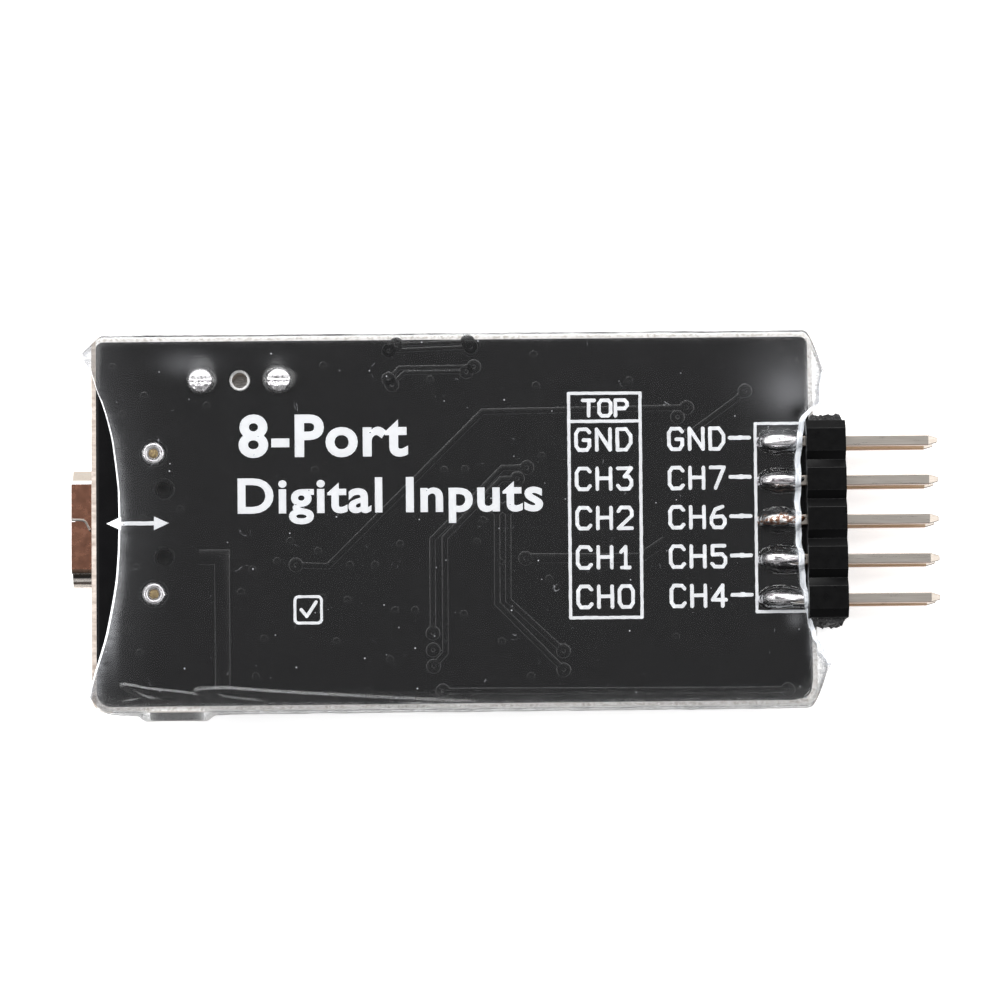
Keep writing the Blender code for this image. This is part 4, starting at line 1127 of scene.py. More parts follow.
def crystal_joint(index, centre):
    """A button of solder: its +Y side slopes off, a ridge crosses it, its -Y side is torn and rough."""
    steps = 44
    side = SIDES[index]
    height = float(node_box(f"crystal_lead_{side}")[1][2]) - BOARD_TOP + 0.10
    centre = (centre[0] + (-0.07, 0.07)[index], centre[1] - 0.02)
    hills = smooth_noise(steps + 1, steps + 1, (9, 9), 90 + index)
    u = np.linspace(-1, 1, steps + 1)[:, None]
    v = np.linspace(-1, 1, steps + 1)[None, :]
    dx = u * np.sqrt(1 - v**2 / 2)
    dy = v * np.sqrt(1 - u**2 / 2)
    rim = np.clip((1 - np.hypot(dx, dy)) / 0.13, 0, 1)
    upper = 1 - 0.75 * np.clip(dy - 0.36, 0, 1) ** 1.2 - 0.06 * dx**2
    lower = 0.93 + 0.16 * np.minimum(dy, 0) - 0.5 * np.clip(-dy - 0.45, 0, 1)
    mound = height * (lower + (upper - lower) * step_up(dy, -0.10, -0.02))
    ridge = 0.06 * np.exp(-(((dy + 0.06) / 0.05) ** 2))
    torn = 0.10 * step_up(-dy, 0.12, 0.30) * (0.9 + 0.6 * hills + 0.7 * np.sin(13 * dx + 2 * index))
    z = np.maximum((mound + ridge + torn) * np.sqrt(np.clip(1 - (1 - rim) ** 2, 0, 1)), 0.0)
    x, y = centre[0] + CRYSTAL_RADIUS * dx, centre[1] + CRYSTAL_RADIUS * dy
    grid = np.stack([x, y, JOINT_BASE + z], axis=2)
    shape = bmesh.new()
    add_sheet(shape, grid.tolist())
    node = f"crystal_solder_{side}"
    piece(f"crystal_joint_{side}", shape, "joint", replaces=[node], smooth=45)


def stake_joint(index, centre):
    """A dished ring of solder with a plated stake's tip in the middle; the right one has a spur."""
    count = 48
    side = SIDES[index]
    profile = [(0.30, 0.015), (0.31, 0.05), (0.37, 0.10), (0.46, 0.14), (0.56, 0.15), (0.65, 0.13),
               (0.72, 0.08), (0.76, 0.0)]
    hills = smooth_noise(len(profile), count + 1, (3, 7), 120 + index)
    shape = bmesh.new()
    rings = []
    for j, (r, z) in enumerate(profile):
        ring = []
        for i, (x, y) in enumerate(circle_points(centre, r, count)):
            turned = (2 * math.pi * i / count + 0.15) % (2 * math.pi)
            spur = 0.15 * math.exp(-((turned / 0.16) ** 2)) if side == "right" and j > 5 else 0.0
            out = 1 + spur / r
            spot = (centre[0] + (x - centre[0]) * out, centre[1] + (y - centre[1]) * out)
            ring.append(shape.verts.new((*spot, BOARD_TOP + 0.01 + z * (1 + 0.12 * hills[j, i % count]))))
        rings.append(ring)
    close_up(shape, rings)
    node = f"usb_stake_solder_{side}"
    piece(f"stake_joint_{side}", shape, "ring", replaces=[node], smooth=50)

    shape = bmesh.new()
    profile = [(0.31, -0.30), (0.31, -0.02), (0.25, 0.02), (0.10, 0.035)]
    add_turned(shape, centre, [(r, BOARD_TOP + z) for r, z in profile], 24)
    piece(f"stake_tip_{side}", shape, "stake", smooth=40)


def solder():
    for i in range(POSITIONS):
        header_joint(i)
        dress(f"header_solder_lower_{i + 1}", "solder")
    for i, centre in enumerate(CRYSTAL_LEADS):
        crystal_joint(i, centre)
    for i, centre in enumerate(STAKES):
        stake_joint(i, centre)


# ---------------------------------------------------------------- pin header


PIN_TIP_START = 30.75  # where a pin's chamfered end begins
PIN_TAIL = 20.7  # the tails stop here, inside their solder


def header():
    # The lower row takes the shaded copy of the gold: painted shade.
    for row, look in (("upper", "gold"), ("lower", "far_gold_painted_shade")):
        for i in range(POSITIONS):
            # Faces of the chamfered tips take the dark copy of the gold: painted shade.
            made = refined(f"header_pin_{row}_{i + 1}", f"pin_{row}_{i + 1}", [look, "tip_gold_painted_shade"], edge=0.045,
                           rule=lambda c, n: 1 if c.x > PIN_TIP_START and abs(n.x) > 0.2 else 0)
            for vert in made.data.vertices:
                vert.co.x = max(vert.co.x, PIN_TAIL * MM)
    header_body()


def header_body():
    """The housing: notched between positions, with its two ends torn where the strip was snapped."""
    shape = welded("header_housing")
    low, high = HOUSING_LOW, HOUSING_HIGH
    middle = (low[1] + high[1]) / 2
    body_half = POSITIONS * PITCH / 2 - 0.02
    for face in shape.faces:
        face.material_index = int(abs(face.calc_center_median().y - middle) > body_half)
    looks = ["nylon", "torn", "nylon_edge"]
    made = piece("header_body", shape, looks, replaces=["header_housing"])
    rounded(made, 0.05).modifiers["edge"].material = looks.index("nylon_edge")

    ends = bmesh.new()
    along, up = 26, 34
    for side, seed in ((1, 5), (-1, 9)):
        hills = smooth_noise(along + 1, up + 1, (7, 11), seed)
        hills = hills + 0.5 * smooth_noise(along + 1, up + 1, (15, 22), seed + 1)
        grid = []
        for i in range(along + 1):
            u = i / along
            line = []
            for j in range(up + 1):
                v = j / up
                x = low[0] + 0.12 + u * (high[0] - low[0] - 0.2)
                z = low[2] + 0.55 + v * (high[2] - low[2] - 1.1)
                edge = min(u, 1 - u, v * 2, (1 - v) * 2)
                proud = 0.36 * min(edge / 0.12, 1.0) * (1 + 0.7 * hills[i, j])
                line.append((x, middle + side * (body_half - 0.06 + proud), z))
            grid.append(line)
        add_sheet(ends, grid)
    piece("header_torn_ends", ends, "torn", smooth=25)


# ---------------------------------------------------------------- USB socket


SEAM_GROOVE = 0.075
BEND_ROUNDING = 0.30
SHELL_WALL = 0.3


def usb_socket():
    usb_shell()
    refined("usb_insulator", "usb_tongue_block", "insulator", edge=0.04)
    for i in range(5):
        refined(f"usb_contact_{i + 1}", f"usb_spring_{i + 1}", "gold", edge=0.03)


def usb_shell():
    """The folded shell: rounded bends, and a dovetailed seam on the face that lies against the board."""
    low, high = node_box("usb_shell")
    top = BOARD_BOTTOM - 0.02
    filler = bmesh.new()
    add_box(filler, (low[0] + 0.002, -0.3, top - SHELL_WALL + 0.002), (high[0] - 0.002, 0.3, top - 0.002))
    mouth = low[0]
    seam = [(-0.4, 0.36), (0.76, 0.34), (0.94, 0.20), (1.20, -0.30), (2.4, -0.34), (2.9, 0.32), (5.2, 0.36)]
    path = [(mouth + x, y) for x, y in seam]
    groove = bmesh.new()
    add_ribbon(groove, path, SEAM_GROOVE, top - SHELL_WALL - 0.2, SHELL_WALL + 0.4)
    shape = carved(welded("usb_shell"), [("UNION", filler), ("DIFFERENCE", groove)])
    flatten(shape)
    weight = shape.edges.layers.float.new("bevel_weight_edge")
    for edge in shape.edges:
        along = edge.verts[1].co - edge.verts[0].co
        if edge.calc_face_angle(0.0) > 0.5:
            edge[weight] = 1.0 if abs(along.x) > 3 and abs(edge.verts[0].co.y) > 2 else 0.25
    made = piece("usb_formed_shell", shape, "shell", replaces=["usb_shell"])
    rounded(made, BEND_ROUNDING, 4, "WEIGHT")

    burr = bmesh.new()
    lip = [(x, y + 0.09) for x, y in [(mouth + 0.03, 0.36), *path[1:4]]]
    add_ribbon(burr, lip, 0.16, top - 0.004, 0.05, 0.06)
    piece("seam_burr", burr, "steel", smooth=30)


def carved(shape, steps):
    """A bmesh after Boolean steps, each the name of an operation and another bmesh."""

    def temporary(source):
        bmesh.ops.recalc_face_normals(source, faces=source.faces)
        mesh = bpy.data.meshes.new("temporary")
        source.to_mesh(mesh)
        source.free()
        return add_object("temporary", mesh)

    target = temporary(shape)
    tools = []
    for operation, other in steps:
        tools.append(temporary(other))
        modifier = target.modifiers.new(operation.lower(), "BOOLEAN")
        modifier.operation = operation
        modifier.object = tools[-1]
        modifier.solver = "EXACT"
    result = shape_from(mesh_of(target))
    for item in (target, *tools):
        bpy.data.objects.remove(item)
    return result


# ---------------------------------------------------------------- component side


def plated_ends(node, cap):
    """A rule: faces near either X end of a part are plated, the rest is its body."""
    low, high = node_box(node)
    return lambda centre, _normal: int(centre.x < low[0] + cap or centre.x > high[0] - cap)


def plated_beyond(node, reach):
    """A rule: faces further than a reach from a part's middle are plated leads."""
    middle = centre_of(node)[0]
    return lambda centre, _normal: int(abs(centre.x - middle) > reach)


def chip(node, name, body_size, dot_inset):
    """Moulded body with tinned leads on both sides and a dot at its first lead."""
    low, high = node_box(node)
    refined(node, name, ["epoxy", "tin"], edge=0.025, rule=plated_beyond(node, body_size / 2 + 0.01))
    dot = (centre_of(node)[0] - body_size / 2 + 0.9, high[1] - dot_inset)
    shape = bmesh.new()
    add_polygon(shape, circle_points(dot, 0.32, 28), low[2] - 0.006, 0.012)
    piece(f"{name}_index_dot", shape, "ink")


LED_BASE = 0.36  # height of the ceramic base that a lamp's lens stands on


def components():
    chip("controller_chip", "controller", 7.5, 1.0)
    chip("memory_chip", "memory", 3.9, 0.8)
    regulator = "voltage_regulator"
    refined(regulator, "regulator", ["epoxy", "tin"], rule=plated_beyond(regulator, 1.76))
    for i in range(4):
        node = f"bypass_capacitor_{i + 1}"
        look = ["ceramic", "tin"]
        refined(node, f"ceramic_capacitor_{i + 1}", look, edge=0.04, rule=plated_ends(node, 0.45))
    for i in range(2):
        node = f"led_resistor_{i + 1}"
        refined(node, f"chip_resistor_{i + 1}", ["resistor", "tin"], rule=plated_ends(node, 0.4))
        node = f"resistor_array_{i + 1}"
        refined(node, f"input_network_{i + 1}", ["resistor", "tin"], rule=plated_beyond(node, 0.79))
    refined("input_fuse", "fuse", ["fuse", "tin"], rule=plated_ends("input_fuse", 0.52))
    for node, name in (("power_led", "power_lamp"), ("activity_led", "activity_lamp")):
        split = node_box(node)[1][2] - LED_BASE
        refined(node, name, ["lens", "alumina"], edge=0.04, rule=lambda c, n, s=split: int(c.z > s))
    bulk_capacitor()
    crystal()
    push_switch()


def bulk_capacitor():
    """A yellow moulding, plated at its two ends near the board, with a brown stripe at its positive end."""
    low, high = node_box("bulk_capacitor")
    at_end = plated_ends("bulk_capacitor", 0.02)

    def rule(centre, normal):
        return at_end(centre, normal) if centre.z > high[2] - 0.95 else 0

    refined("bulk_capacitor", "tantalum_block", ["tantalum", "tin", "stripe"], edge=0.06, rule=rule)
    stripe = bmesh.new()
    start, end = low[0] + 0.3, low[0] + 0.75
    add_box(stripe, (start, low[1] + 0.02, low[2] - 0.006), (end, high[1] - 0.02, low[2] + 0.01))
    piece("polarity_stripe", stripe, "stripe")


def crystal():
    refined("crystal_can", "crystal_cover", "steel", edge=0.12, segments=4)
    refined("crystal_base", "crystal_header", "steel", edge=0.05)
    dress("crystal_quartz", "quartz")
    for side in SIDES:
        dress(f"crystal_lead_{side}", "tin")


DOME_SHARE = 0.36  # drawn snapped flat, as under a pressed button


def push_switch():
    refined("switch_housing", "button_case", "nylon", edge=0.04)
    refined("switch_cover", "button_cover", "steel", edge=0.03)
    refined("switch_plunger", "button", "nylon", edge=0.02, body=PLUNGER)
    dome = refined("switch_dome", "snap_dome", "steel", edge=0.05)
    rear = float(node_box("switch_dome")[1][1]) * MM
    for vert in dome.data.vertices:
        vert.co.y = rear - (rear - vert.co.y) * DOME_SHARE
    for side in SIDES:
        dress(f"switch_terminal_{side}", "tin")


# ---------------------------------------------------------------- heat-shrink sleeve

FILM_WALL = 0.13
FILM_GAP = 0.03
FILM_REST = 0.036  # the inner skin's lowest height above the board
FILM_HALF = 12.0  # half the film's width, for the places across it
FILM_LENGTH = 43.6  # the film's length, for the places along it
PIN_COVERED = (21.6, 23.0)  # where the film lies on the bare pins
CELL = 0.1
# The film's two ends on the label side: (share across the board, x)
LEFT_EDGE = [(-1, -23.45), (-0.83, -23.05), (-0.71, -22.67), (-0.60, -22.32), (-0.42, -21.90),
             (-0.30, -21.67), (-0.15, -21.54), (0.01, -21.49), (0.18, -21.53), (0.31, -21.70),
             (0.45, -21.92), (0.58, -22.31), (0.72, -22.87), (0.90, -23.39), (0.94, -23.86), (1, -23.80)]
RIGHT_EDGE = [(-1, 24.25), (-0.65, 22.98), (-0.53, 22.72), (-0.44, 22.55), (-0.36, 22.40), (-0.28, 22.30),
              (-0.19, 22.22), (-0.11, 22.15), (-0.03, 22.10), (0.09, 22.12), (0.30, 22.17), (0.38, 22.24),
              (0.46, 22.35), (0.54, 22.62), (0.59, 22.95), (0.75, 23.88), (0.88, 23.94), (1, 24.2)]
RIGHT_SHIFT = 0.20
FAR_EXTRA = (0.75, 0.30)  # how much further the ends reach in on the component side
LEFT_CUT = (0.12, 0.08, 0.05)  # how far the outer skin stops short at -Y, the middle and +Y
RIGHT_CUT = 0.36


def neighbour_mean(grid):
    """Each cell's mean over its four neighbours."""
    spread = np.pad(grid, 1, mode="edge")
    return (spread[:-2, 1:-1] + spread[2:, 1:-1] + spread[1:-1, :-2] + spread[1:-1, 2:]) / 4


class Field:
    """A height map over the board that the film is stretched across."""

    def __init__(self):
        self.x = np.arange(-25.2, 26.0, CELL)
        self.y = np.arange(-12.6, 12.61, CELL)
        self.gx, self.gy = np.meshgrid(self.x, self.y, indexing="ij")
        self.floor = np.zeros_like(self.gx)

    def raise_box(self, low, high, height):
        inside = (self.gx >= low[0]) & (self.gx <= high[0]) & (self.gy >= low[1]) & (self.gy <= high[1])
        self.floor[inside] = np.maximum(self.floor[inside], height)

    def raise_dome(self, centre, radius, height):
        share = np.clip(1 - ((self.gx - centre[0]) ** 2 + (self.gy - centre[1]) ** 2) / radius**2, 0, None)
        self.floor = np.maximum(self.floor, height * share**0.5)

    def stretch(self, pull, rounds):
        """Relaxes a stretched film over what stands under it; pull is how hard it hugs the board."""
        film = self.floor.copy()
        for _ in range(rounds):
            film = np.maximum(self.floor, neighbour_mean(film) - pull * CELL * CELL / 4)
            film[:, :2] = self.floor[:, :2]
            film[:, -2:] = self.floor[:, -2:]
        self.film = film

    def soften(self, rounds):
        for _ in range(rounds):
            self.film = (self.film + neighbour_mean(self.film)) / 2

    def at(self, x, y):
        fx = np.clip((x - self.x[0]) / CELL, 0, len(self.x) - 1.001)
        fy = np.clip((y - self.y[0]) / CELL, 0, len(self.y) - 1.001)
        ix, iy = fx.astype(int), fy.astype(int)
        tx, ty = fx - ix, fy - iy
        f = self.film
        return (f[ix, iy] * (1 - tx) * (1 - ty) + f[ix + 1, iy] * tx * (1 - ty)
                + f[ix, iy + 1] * (1 - tx) * ty + f[ix + 1, iy + 1] * tx * ty)


def near_field():
    """The film over the label side, as heights above the board."""
    field = Field()
    field.floor += FILM_REST
    for centre in CRYSTAL_LEADS:
        field.raise_dome(centre, CRYSTAL_RADIUS, 0.50)
    for centre in STAKES:
        field.raise_dome(centre, 0.82, 0.19)
    for i in range(POSITIONS):
        inside = (field.gx > JOINT_REACH[0]) & (field.gx < JOINT_REACH[1])
        joint = np.where(inside, joint_height(i, field.gx, field.gy) + 0.05, 0.0)
        low, high = node_box(f"header_pin_upper_{i + 1}")
        field.floor = np.maximum(field.floor, joint)
        pin_end = (PIN_COVERED[1], high[1] + 0.05)
        field.raise_box((PIN_COVERED[0], low[1] - 0.05), pin_end, high[2] - BOARD_TOP + 0.06)
    near_header = (field.gx > 18.5) & (np.abs(field.gy) < 6.4)
    pull = np.where(near_header, 4.2, 2.2)
    field.stretch(pull, 700)
    field.soften(4)
    return field


def far_field():
    """The film over the component side, as depths below the board."""
    field = Field()
    outside = ("header_housing", "heat_shrink_sleeve", "circuit_board", "header_pin_upper",
               "header_solder_upper")
    margin = 0.1
    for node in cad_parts:
        low, high = node_box(node)
        if node.startswith(outside) or low[2] > BOARD_BOTTOM - 0.2:
            continue
        corner = (min(high[0], 22.6) + margin, high[1] + margin)
        field.raise_box((low[0] - margin, low[1] - margin), corner, BOARD_BOTTOM - low[2] + FILM_GAP)
    field.stretch(0.10, 1600)
    field.soften(6)
    return field


RIDGES = [
    # Creases beside the -Y edge: path, height, width
    ([(-21.27, -10.37), (-19.71, -10.70), (-18.03, -10.89), (-16.36, -11.13)], 0.08, 0.10),
    ([(-21.2, -10.45), (-19.94, -11.20), (-19.26, -11.38)], 0.08, 0.10),
    ([(-21.05, -11.47), (-20.38, -11.37)], 0.06, 0.10),
    ([(-16.40, -10.76), (-14.7, -10.72), (-11.9, -10.96), (-8.05, -11.22), (-3.6, -11.50), (1.0, -11.75)],
     0.10, 0.12),
    ([(-16.30, -10.80), (-15.9, -11.15), (-16.2, -11.30)], 0.09, 0.16),
    ([(-15.5, -11.0), (-14.9, -11.25), (-12.5, -11.55)], 0.05, 0.10),
]


def ridge_height(x, y):
    total = np.zeros_like(x)
    for path, height, width in RIDGES:
        nearest = np.full_like(x, 1e9)
        for (ax, ay), (bx, by) in zip(path, path[1:], strict=False):
            dx, dy = bx - ax, by - ay
            t = np.clip(((x - ax) * dx + (y - ay) * dy) / (dx * dx + dy * dy), 0, 1)
            nearest = np.minimum(nearest, np.hypot(x - ax - t * dx, y - ay - t * dy))
        total += height * np.exp(-((nearest / width) ** 2))
    return total


def spaced(start, sections):
    """Places from a start through sections, each its end and the distance between its places."""
    places = [np.array([start])]
    for end, step in sections:
        count = max(int(round(abs(end - start) / step)), 1)
        places.append(np.linspace(start, end, count + 1)[1:])
        start = end
    return np.concatenate(places)


def across_shares():
    """Places across the film from -1 to 1, close together at the creases, the header and the crystal."""
    sections = [(-10.1, 0.07), (-6.4, 0.34), (6.4, 0.115), (8.2, 0.26), (10.4, 0.17), (11.4, 0.3),
                (FILM_HALF, 0.1)]
    return spaced(-FILM_HALF, sections) / FILM_HALF


def through(points, share):
    """A soft curve through (share, x) points."""
    places, values = zip(*points, strict=True)
    return sum(np.interp(share + shift, places, values) for shift in (-0.03, -0.01, 0.01, 0.03)) / 4


def loop_columns():
    """Once round the board: share across, depth from label side (0) to component side (1), corner offsets."""
    flat = 1 - CORNER / HALF_WIDTH
    rounding = np.linspace(0, math.pi / 2, CORNER_STEPS + 2)[1:-1]
    rises = np.arange(1, WALL_STEPS + 1) / (WALL_STEPS + 1)
    far_shares = np.linspace(-1, 1, 62)

    def turn(side, depth, angles):
        drop = 1 if depth else -1
        return [(side * flat, depth, side * CORNER * math.sin(a), drop * CORNER * (1 - math.cos(a)))
                for a in angles]

    columns = [(share * flat, 0.0, 0.0, 0.0) for share in across_shares()]
    columns += turn(1, 0.0, rounding)
    columns += [(flat, rise, CORNER, 0.0) for rise in rises]
    columns += turn(1, 1.0, rounding[::-1])
    columns += [(share * flat, 1.0, 0.0, 0.0) for share in far_shares[::-1]]
    columns += turn(-1, 1.0, rounding)
    columns += [(-flat, rise, -CORNER, 0.0) for rise in rises[::-1]]
    columns += turn(-1, 0.0, rounding[::-1])
    return [np.array(column)[None, :] for column in zip(*columns, strict=True)]


CORNER = 0.16
CORNER_STEPS = 4
WALL_STEPS = 7
HALF_WIDTH = BOARD_HIGH[1] + FILM_GAP


def squeezed(x, share):
    """How much narrower the film gets beyond each end of the board, where it folds into ears."""
    left_far = 1.03 * np.clip((-22.6 - x) / 1.16, 0, 1.3)
    left_near = 1.20 * np.clip((-21.6 - x) / 1.91, 0, 1.2) ** 2.4
    beyond = np.clip(x - 22.73, 0, 2.0)
    right = 2.2 * beyond**1.6 / (1 + 0.25 * beyond**2)
    return 1 - (np.where(share > 0, left_far, left_near) + right) / HALF_WIDTH


def glow(x, y, spots):
    """Soft patches: (x, y, radius along X, radius along Y, amount)."""
    return sum(amount * np.exp(-(((x - cx) / rx) ** 2) - ((y - cy) / ry) ** 2)
               for cx, cy, rx, ry, amount in spots)


VEIL = 0.008  # how milky the whole film is
# Painted sheen: milky patches at given places that stand in for the glow of the film's slopes by the header
# and near its ends.
PAINTED_SHEEN = [(21.8, 8.0, 1.5, 1.4, 0.105), (-17.4, 10.35, 1.5, 0.7, 0.045), (20.9, 9.2, 2.3, 2.2, 0.030),
         (21.9, -6.5, 0.5, 0.5, 0.10), (23.0, -8.4, 0.30, 0.9, 0.08), (20.9, 5.6, 1.3, 0.35, 0.06),
         (-16.6, 10.2, 1.3, 0.7, 0.035), (-11.3, 10.4, 0.9, 0.6, 0.018), (-21.9, -7.0, 0.35, 2.2, 0.085)]
# Painted shade: where the milky veil is taken away, over a shadow beside the header's right end and over the
# two peg holes
PAINTED_SHADOWS = [(22.35, 6.75, 0.6, 0.5, 0.95), *[(*peg, 0.50, 0.50, 0.9) for peg in PEGS]]


def sleeve_skin(near, far):
    """The film's inner skin: stations along X, each once round the board, and how hazy and crinkled it is."""
    share, depth, out_y, out_z = loop_columns()
    places = spaced(0.0, [(3.0, 0.15), (11.5, 0.22), (40.0, 0.52), (FILM_LENGTH, 0.085)])
    along = places[:, None] / FILM_LENGTH
    far_share = (1 - np.abs(share) ** 2.2) * depth
    arc_left = through(LEFT_EDGE, share) + FAR_EXTRA[0] * far_share
    arc_right = through(RIGHT_EDGE, share) + RIGHT_SHIFT * (1 - share**4) - FAR_EXTRA[1] * far_share
    arc_right = arc_right + 0.03 * np.sin(share * 57.0) * (1 - share**4)
    x = arc_left + (arc_right - arc_left) * along
    middle_y = share * HALF_WIDTH
    from_left = x - arc_left
    from_right = arc_right - x
    near_side = 1 - np.clip(depth, 0, 1)
    stations, columns = x.shape

    fine = smooth_noise(stations, columns, (110, 70), 3)
    fine = fine + 0.7 * smooth_noise(stations, columns, (150, 120), 4)
    flare = 0.40 * np.exp(-from_left / 0.9) * (0.62 - 0.38 * share) * (1 - np.abs(share) ** 6)
    flare += 0.10 * np.exp(-from_right / 0.5)
    inward = np.clip(HALF_WIDTH - np.abs(middle_y), 0, None)
    cushion = 0.075 * (1 - np.exp(-inward / 0.35))
    low_corner = step_up(FILM_HALF + middle_y, 1.0, 5.0) * step_up(-middle_y, 2.0, 5.0)
    high_corner = step_up(FILM_HALF - middle_y, 0.3, 6.0) * step_up(middle_y, -3.0, 4.0)
    swell = 0.035 * np.exp(-(((x + 18.5) / 3.0) ** 2))
    swell = swell + 0.20 * step_up(x, 16.2, 22.0) * high_corner + 0.12 * step_up(x, 18.5, 22.0) * low_corner
    swell = swell + glow(x, middle_y, [(-16.0, 9.8, 0.7, 0.7, 0.13), (-11.2, 9.9, 0.6, 0.6, 0.08)])
    ripple = 0.014 * (1 + np.sin(x * 1.3 + 0.5 * middle_y) * np.sin(middle_y * 0.8 + 1.0))
    film = near.at(x, middle_y)
    lift = np.maximum(film, FILM_REST + cushion + swell + ripple)
    near_z = BOARD_TOP + lift + flare + ridge_height(x, middle_y)
    bottom_edge = step_up(-share, 0.955, 0.985)
    near_z = near_z + 0.02 * np.maximum(fine, 0) * bottom_edge
    far_z = BOARD_BOTTOM - far.at(x, middle_y)
    z = near_z * (1 - depth) + far_z * depth + out_z

    button = step_up(-share, 0.97, 0.985)
    at_button = step_up(depth, 0.08, 0.34) * (1 - step_up(depth, 0.66, 0.92))
    y = middle_y + out_y - side_bulge(x) * button * at_button
    wall = step_up(np.abs(share), 0.965, 0.985) * (0.35 + 0.65 * np.sin(math.pi * np.clip(depth, 0, 1)))
    over_button = button * np.exp(-(((x + 17.95) / 1.95) ** 8))
    y = y + np.sign(share) * wall * fine * np.where(share < 0, 0.045, 0.018) * (1 - over_button)
    squeeze = squeezed(x, share)
    y = y * squeeze
    z = BOARD_MIDDLE + (z - BOARD_MIDDLE) * (1 - (1 - squeeze) * 2.2)

    haze = 0.26 * np.exp(-((from_left / 0.50) ** 2)) * (0.50 - 0.50 * share) * near_side
    haze = haze + 0.10 * np.exp(-((from_right / 0.25) ** 2))
    beyond_board = 1.6 * step_up(-x, 23.15, 23.4) + step_up(x, 23.25, 23.6)
    haze = haze + 0.20 * beyond_board + 0.05 * wall
    # Milky veil: the film's even milkiness, more near the left end, and the painted sheen patches.
    veil_and_painted_sheen = VEIL + 0.017 * np.exp(-((from_left / 2.3) ** 2)) + glow(x, y, PAINTED_SHEEN)
    # Painted shade: the veil is taken away at the shadow spots.
    veil_and_painted_sheen = veil_and_painted_sheen * (1 - glow(x, y, PAINTED_SHADOWS)) * near_side
    crinkle = 0.05 + 0.9 * bottom_edge + 0.25 * step_up(-share, 0.86, 0.95)
    crinkle = crinkle + 0.5 * step_up(np.abs(share), 0.7, 0.95) * np.exp(-from_right / 1.2)
    haze = np.maximum(haze * (1 - over_button), 0.0)
    crinkle = np.clip(crinkle * (1 - 0.8 * over_button), 0, 1)
    marks = {"haze": haze, "crinkle": crinkle, "veil_and_painted_sheen": veil_and_painted_sheen, "dull": 0.9 * over_button}
    return np.stack([x, y, z], axis=2), marks, from_left, from_right, share + 0 * x, over_button


def side_bulge(x):
    """How far the button pushes the film out past the -Y edge."""
    low, high = node_box("switch_plunger")
    proud = BOARD_LOW[1] - low[1] + 0.01
    away = np.maximum(np.abs(x - (low[0] + high[0]) / 2) - (high[0] - low[0]) / 2 + 0.12, 0)
    return proud * np.exp(-((away / 0.40) ** 2))


def sleeve():
    inner, marks, from_left, from_right, share, over_button = sleeve_skin(near_field(), far_field())
    before = np.roll(inner, 1, axis=1)
    after = np.roll(inner, -1, axis=1)
    normal = np.cross(np.gradient(inner, axis=0), after - before)
    normal /= np.maximum(np.linalg.norm(normal, axis=2, keepdims=True), 1e-9)
    if (normal * (inner - inner.mean(axis=1, keepdims=True))).sum() < 0:
        normal = -normal
    outer = inner + normal * (FILM_WALL * (1 - 0.6 * over_button))[..., None]
    left_cut = np.interp(share, (-1, 0, 1), LEFT_CUT)
    outer[..., 0] += left_cut * np.exp(-from_left / 0.25) - RIGHT_CUT * np.exp(-from_right / 0.35)

    looks = ["film", "film_edge", "film_fold"]
    shape = bmesh.new()
    layers = [(shape.verts.layers.float.new(name), values) for name, values in marks.items()]
    skins = []
    for skin in (inner, outer):
        rings = []
        for i, line in enumerate(skin):
            ring = []
            for j, point in enumerate(line):
                vert = shape.verts.new(tuple(point))
                for layer, values in layers:
                    vert[layer] = float(values[i, j])
                ring.append(vert)
            rings.append(ring)
        skins.append(rings)
    for rings in skins:
        for ring, following in zip(rings, rings[1:], strict=False):
            bridge(shape, ring, following)
    for end, look in ((0, "film_edge"), (-1, "film_fold")):
        bridge(shape, skins[0][end], skins[1][end], (looks.index(look),))
    piece("film_sleeve", shape, looks, replaces=["heat_shrink_sleeve"], smooth=50)


# ---------------------------------------------------------------- stage

CONTACT_X = -17.0  # where the film rests on the bench, under the socket
CAMERA_DISTANCE = 291.2
CAMERA_TILT = -5.73  # degrees about X: the camera stands towards -Y
CAMERA_LEAN = 1.52  # degrees about Y: it stands slightly towards -X
CAMERA_ROLL = 0.68
CAMERA_OFFSET = (-2.957, -1.313)
CAMERA_LENS = 163.2
SENSOR = 36.0


def camera():
    """It looks down at the label side."""
    made = add_object("camera", bpy.data.cameras.new("camera"))
    turn = (
        Matrix.Rotation(math.radians(CAMERA_ROLL), 3, "Z")
        @ Matrix.Rotation(math.radians(CAMERA_TILT), 3, "X")
        @ Matrix.Rotation(math.radians(CAMERA_LEAN), 3, "Y")
    )
    back = turn.transposed()
    place = back @ Vector((-CAMERA_OFFSET[0], -CAMERA_OFFSET[1], CAMERA_DISTANCE))
    made.matrix_world = Matrix.Translation(place * MM) @ back.to_4x4()
    made.data.lens = CAMERA_LENS
    made.data.sensor_width = SENSOR
    made.data.clip_start = 0.01
    made.data.clip_end = 20.0
    bpy.context.scene.camera = made


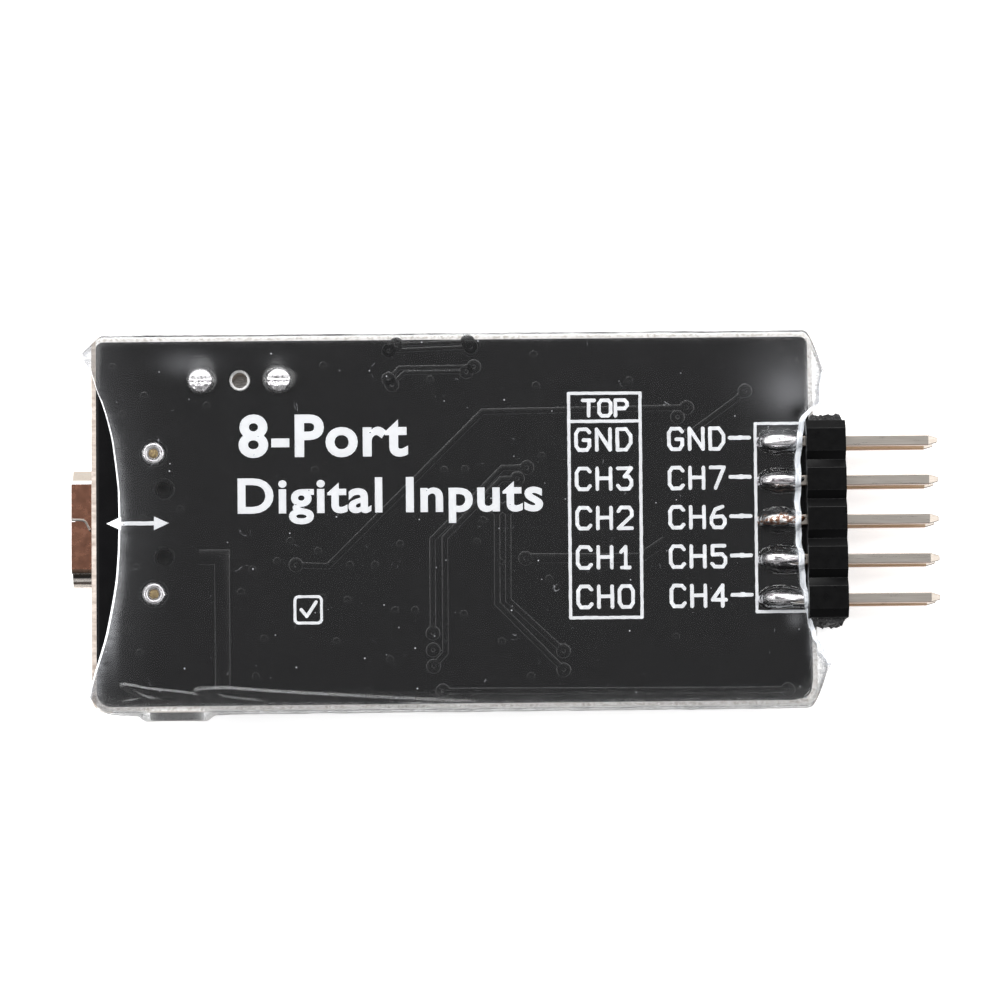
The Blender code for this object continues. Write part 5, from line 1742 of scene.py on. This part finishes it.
def floor():
    """The bench: it meets the film under the socket and the lower edge of the header."""
    contact = np.array([CONTACT_X, SLEEVE_LOW[2] - 0.02])
    header_edge = np.array([HOUSING_HIGH[0], HOUSING_LOW[2]])
    slope = (header_edge[1] - contact[1]) / (header_edge[0] - contact[0])
    shape = bmesh.new()
    reach = 3000.0
    corners = [(-reach, -reach), (reach, -reach), (reach, reach), (-reach, reach)]
    shape.faces.new([shape.verts.new((x, y, contact[1] + slope * (x - contact[0]))) for x, y in corners])
    mesh = mesh_from("bench", shape)
    look = Look("bench_white", (0.93, 0.93, 0.93), 0.8)
    look.set("Emission Color", (1.0, 1.0, 1.0, 1.0))
    look.set("Emission Strength", 0.62)
    mesh.materials.append(look.material)
    add_object("bench", mesh)


def surroundings():
    """A white studio with a dim patch overhead, where the camera is, and a dim side towards -Y."""
    world = bpy.data.worlds.new("studio")
    bpy.context.scene.world = world
    world.use_nodes = True
    nodes = Nodes(world.node_tree)
    split = nodes.node("ShaderNodeSeparateXYZ")
    nodes.link(nodes.node("ShaderNodeTexCoord").outputs["Generated"], split.inputs[0])
    stops = [(0.0, 0.80), (0.35, 0.95), (0.70, 1.60), (0.88, 1.80), (0.935, 1.10), (0.972, 0.15)]
    by_height = nodes.ramp(split.outputs["Z"], stops, ease=True)

    towards = nodes.node("ShaderNodeMapRange", interpolation_type="SMOOTHSTEP")
    for name, value in (("From Min", -0.60), ("From Max", 0.20), ("To Min", 0.22), ("To Max", 1.20)):
        towards.inputs[name].default_value = value
    nodes.link(split.outputs["Y"], towards.inputs["Value"])
    product = nodes.node("ShaderNodeVectorMath", operation="SCALE")
    nodes.link(by_height, product.inputs[0])
    nodes.link(towards.outputs["Result"], product.inputs["Scale"])
    background = nodes.tree.nodes["Background"]
    nodes.link(product.outputs["Vector"], background.inputs["Color"])
    background.inputs["Strength"].default_value = 1.0


def softbox(name, place, size, radiance):
    """A square light aimed at the board's middle."""
    light = bpy.data.lights.new(name, "AREA")
    light.shape = "RECTANGLE"
    light.size, light.size_y = size[0] * MM, size[1] * MM
    light.energy = radiance * math.pi * light.size * light.size_y
    made = add_object(name, light)
    made.location = Vector(place) * MM
    made.rotation_euler = (-Vector(place)).to_track_quat("-Z", "Y").to_euler()


def stage():
    camera()
    floor()
    surroundings()
    softbox("top_softbox", (-60, 330, 330), (420, 190), 4.0)
    softbox("left_softbox", (-330, 60, 240), (150, 260), 3.0)
    softbox("right_softbox", (330, 90, 260), (150, 260), 3.0)
    bpy.context.scene.view_settings.view_transform = "Standard"


# ---------------------------------------------------------------- assembly


board()
legend()
solder()
header()
usb_socket()
components()
sleeve()
stage()
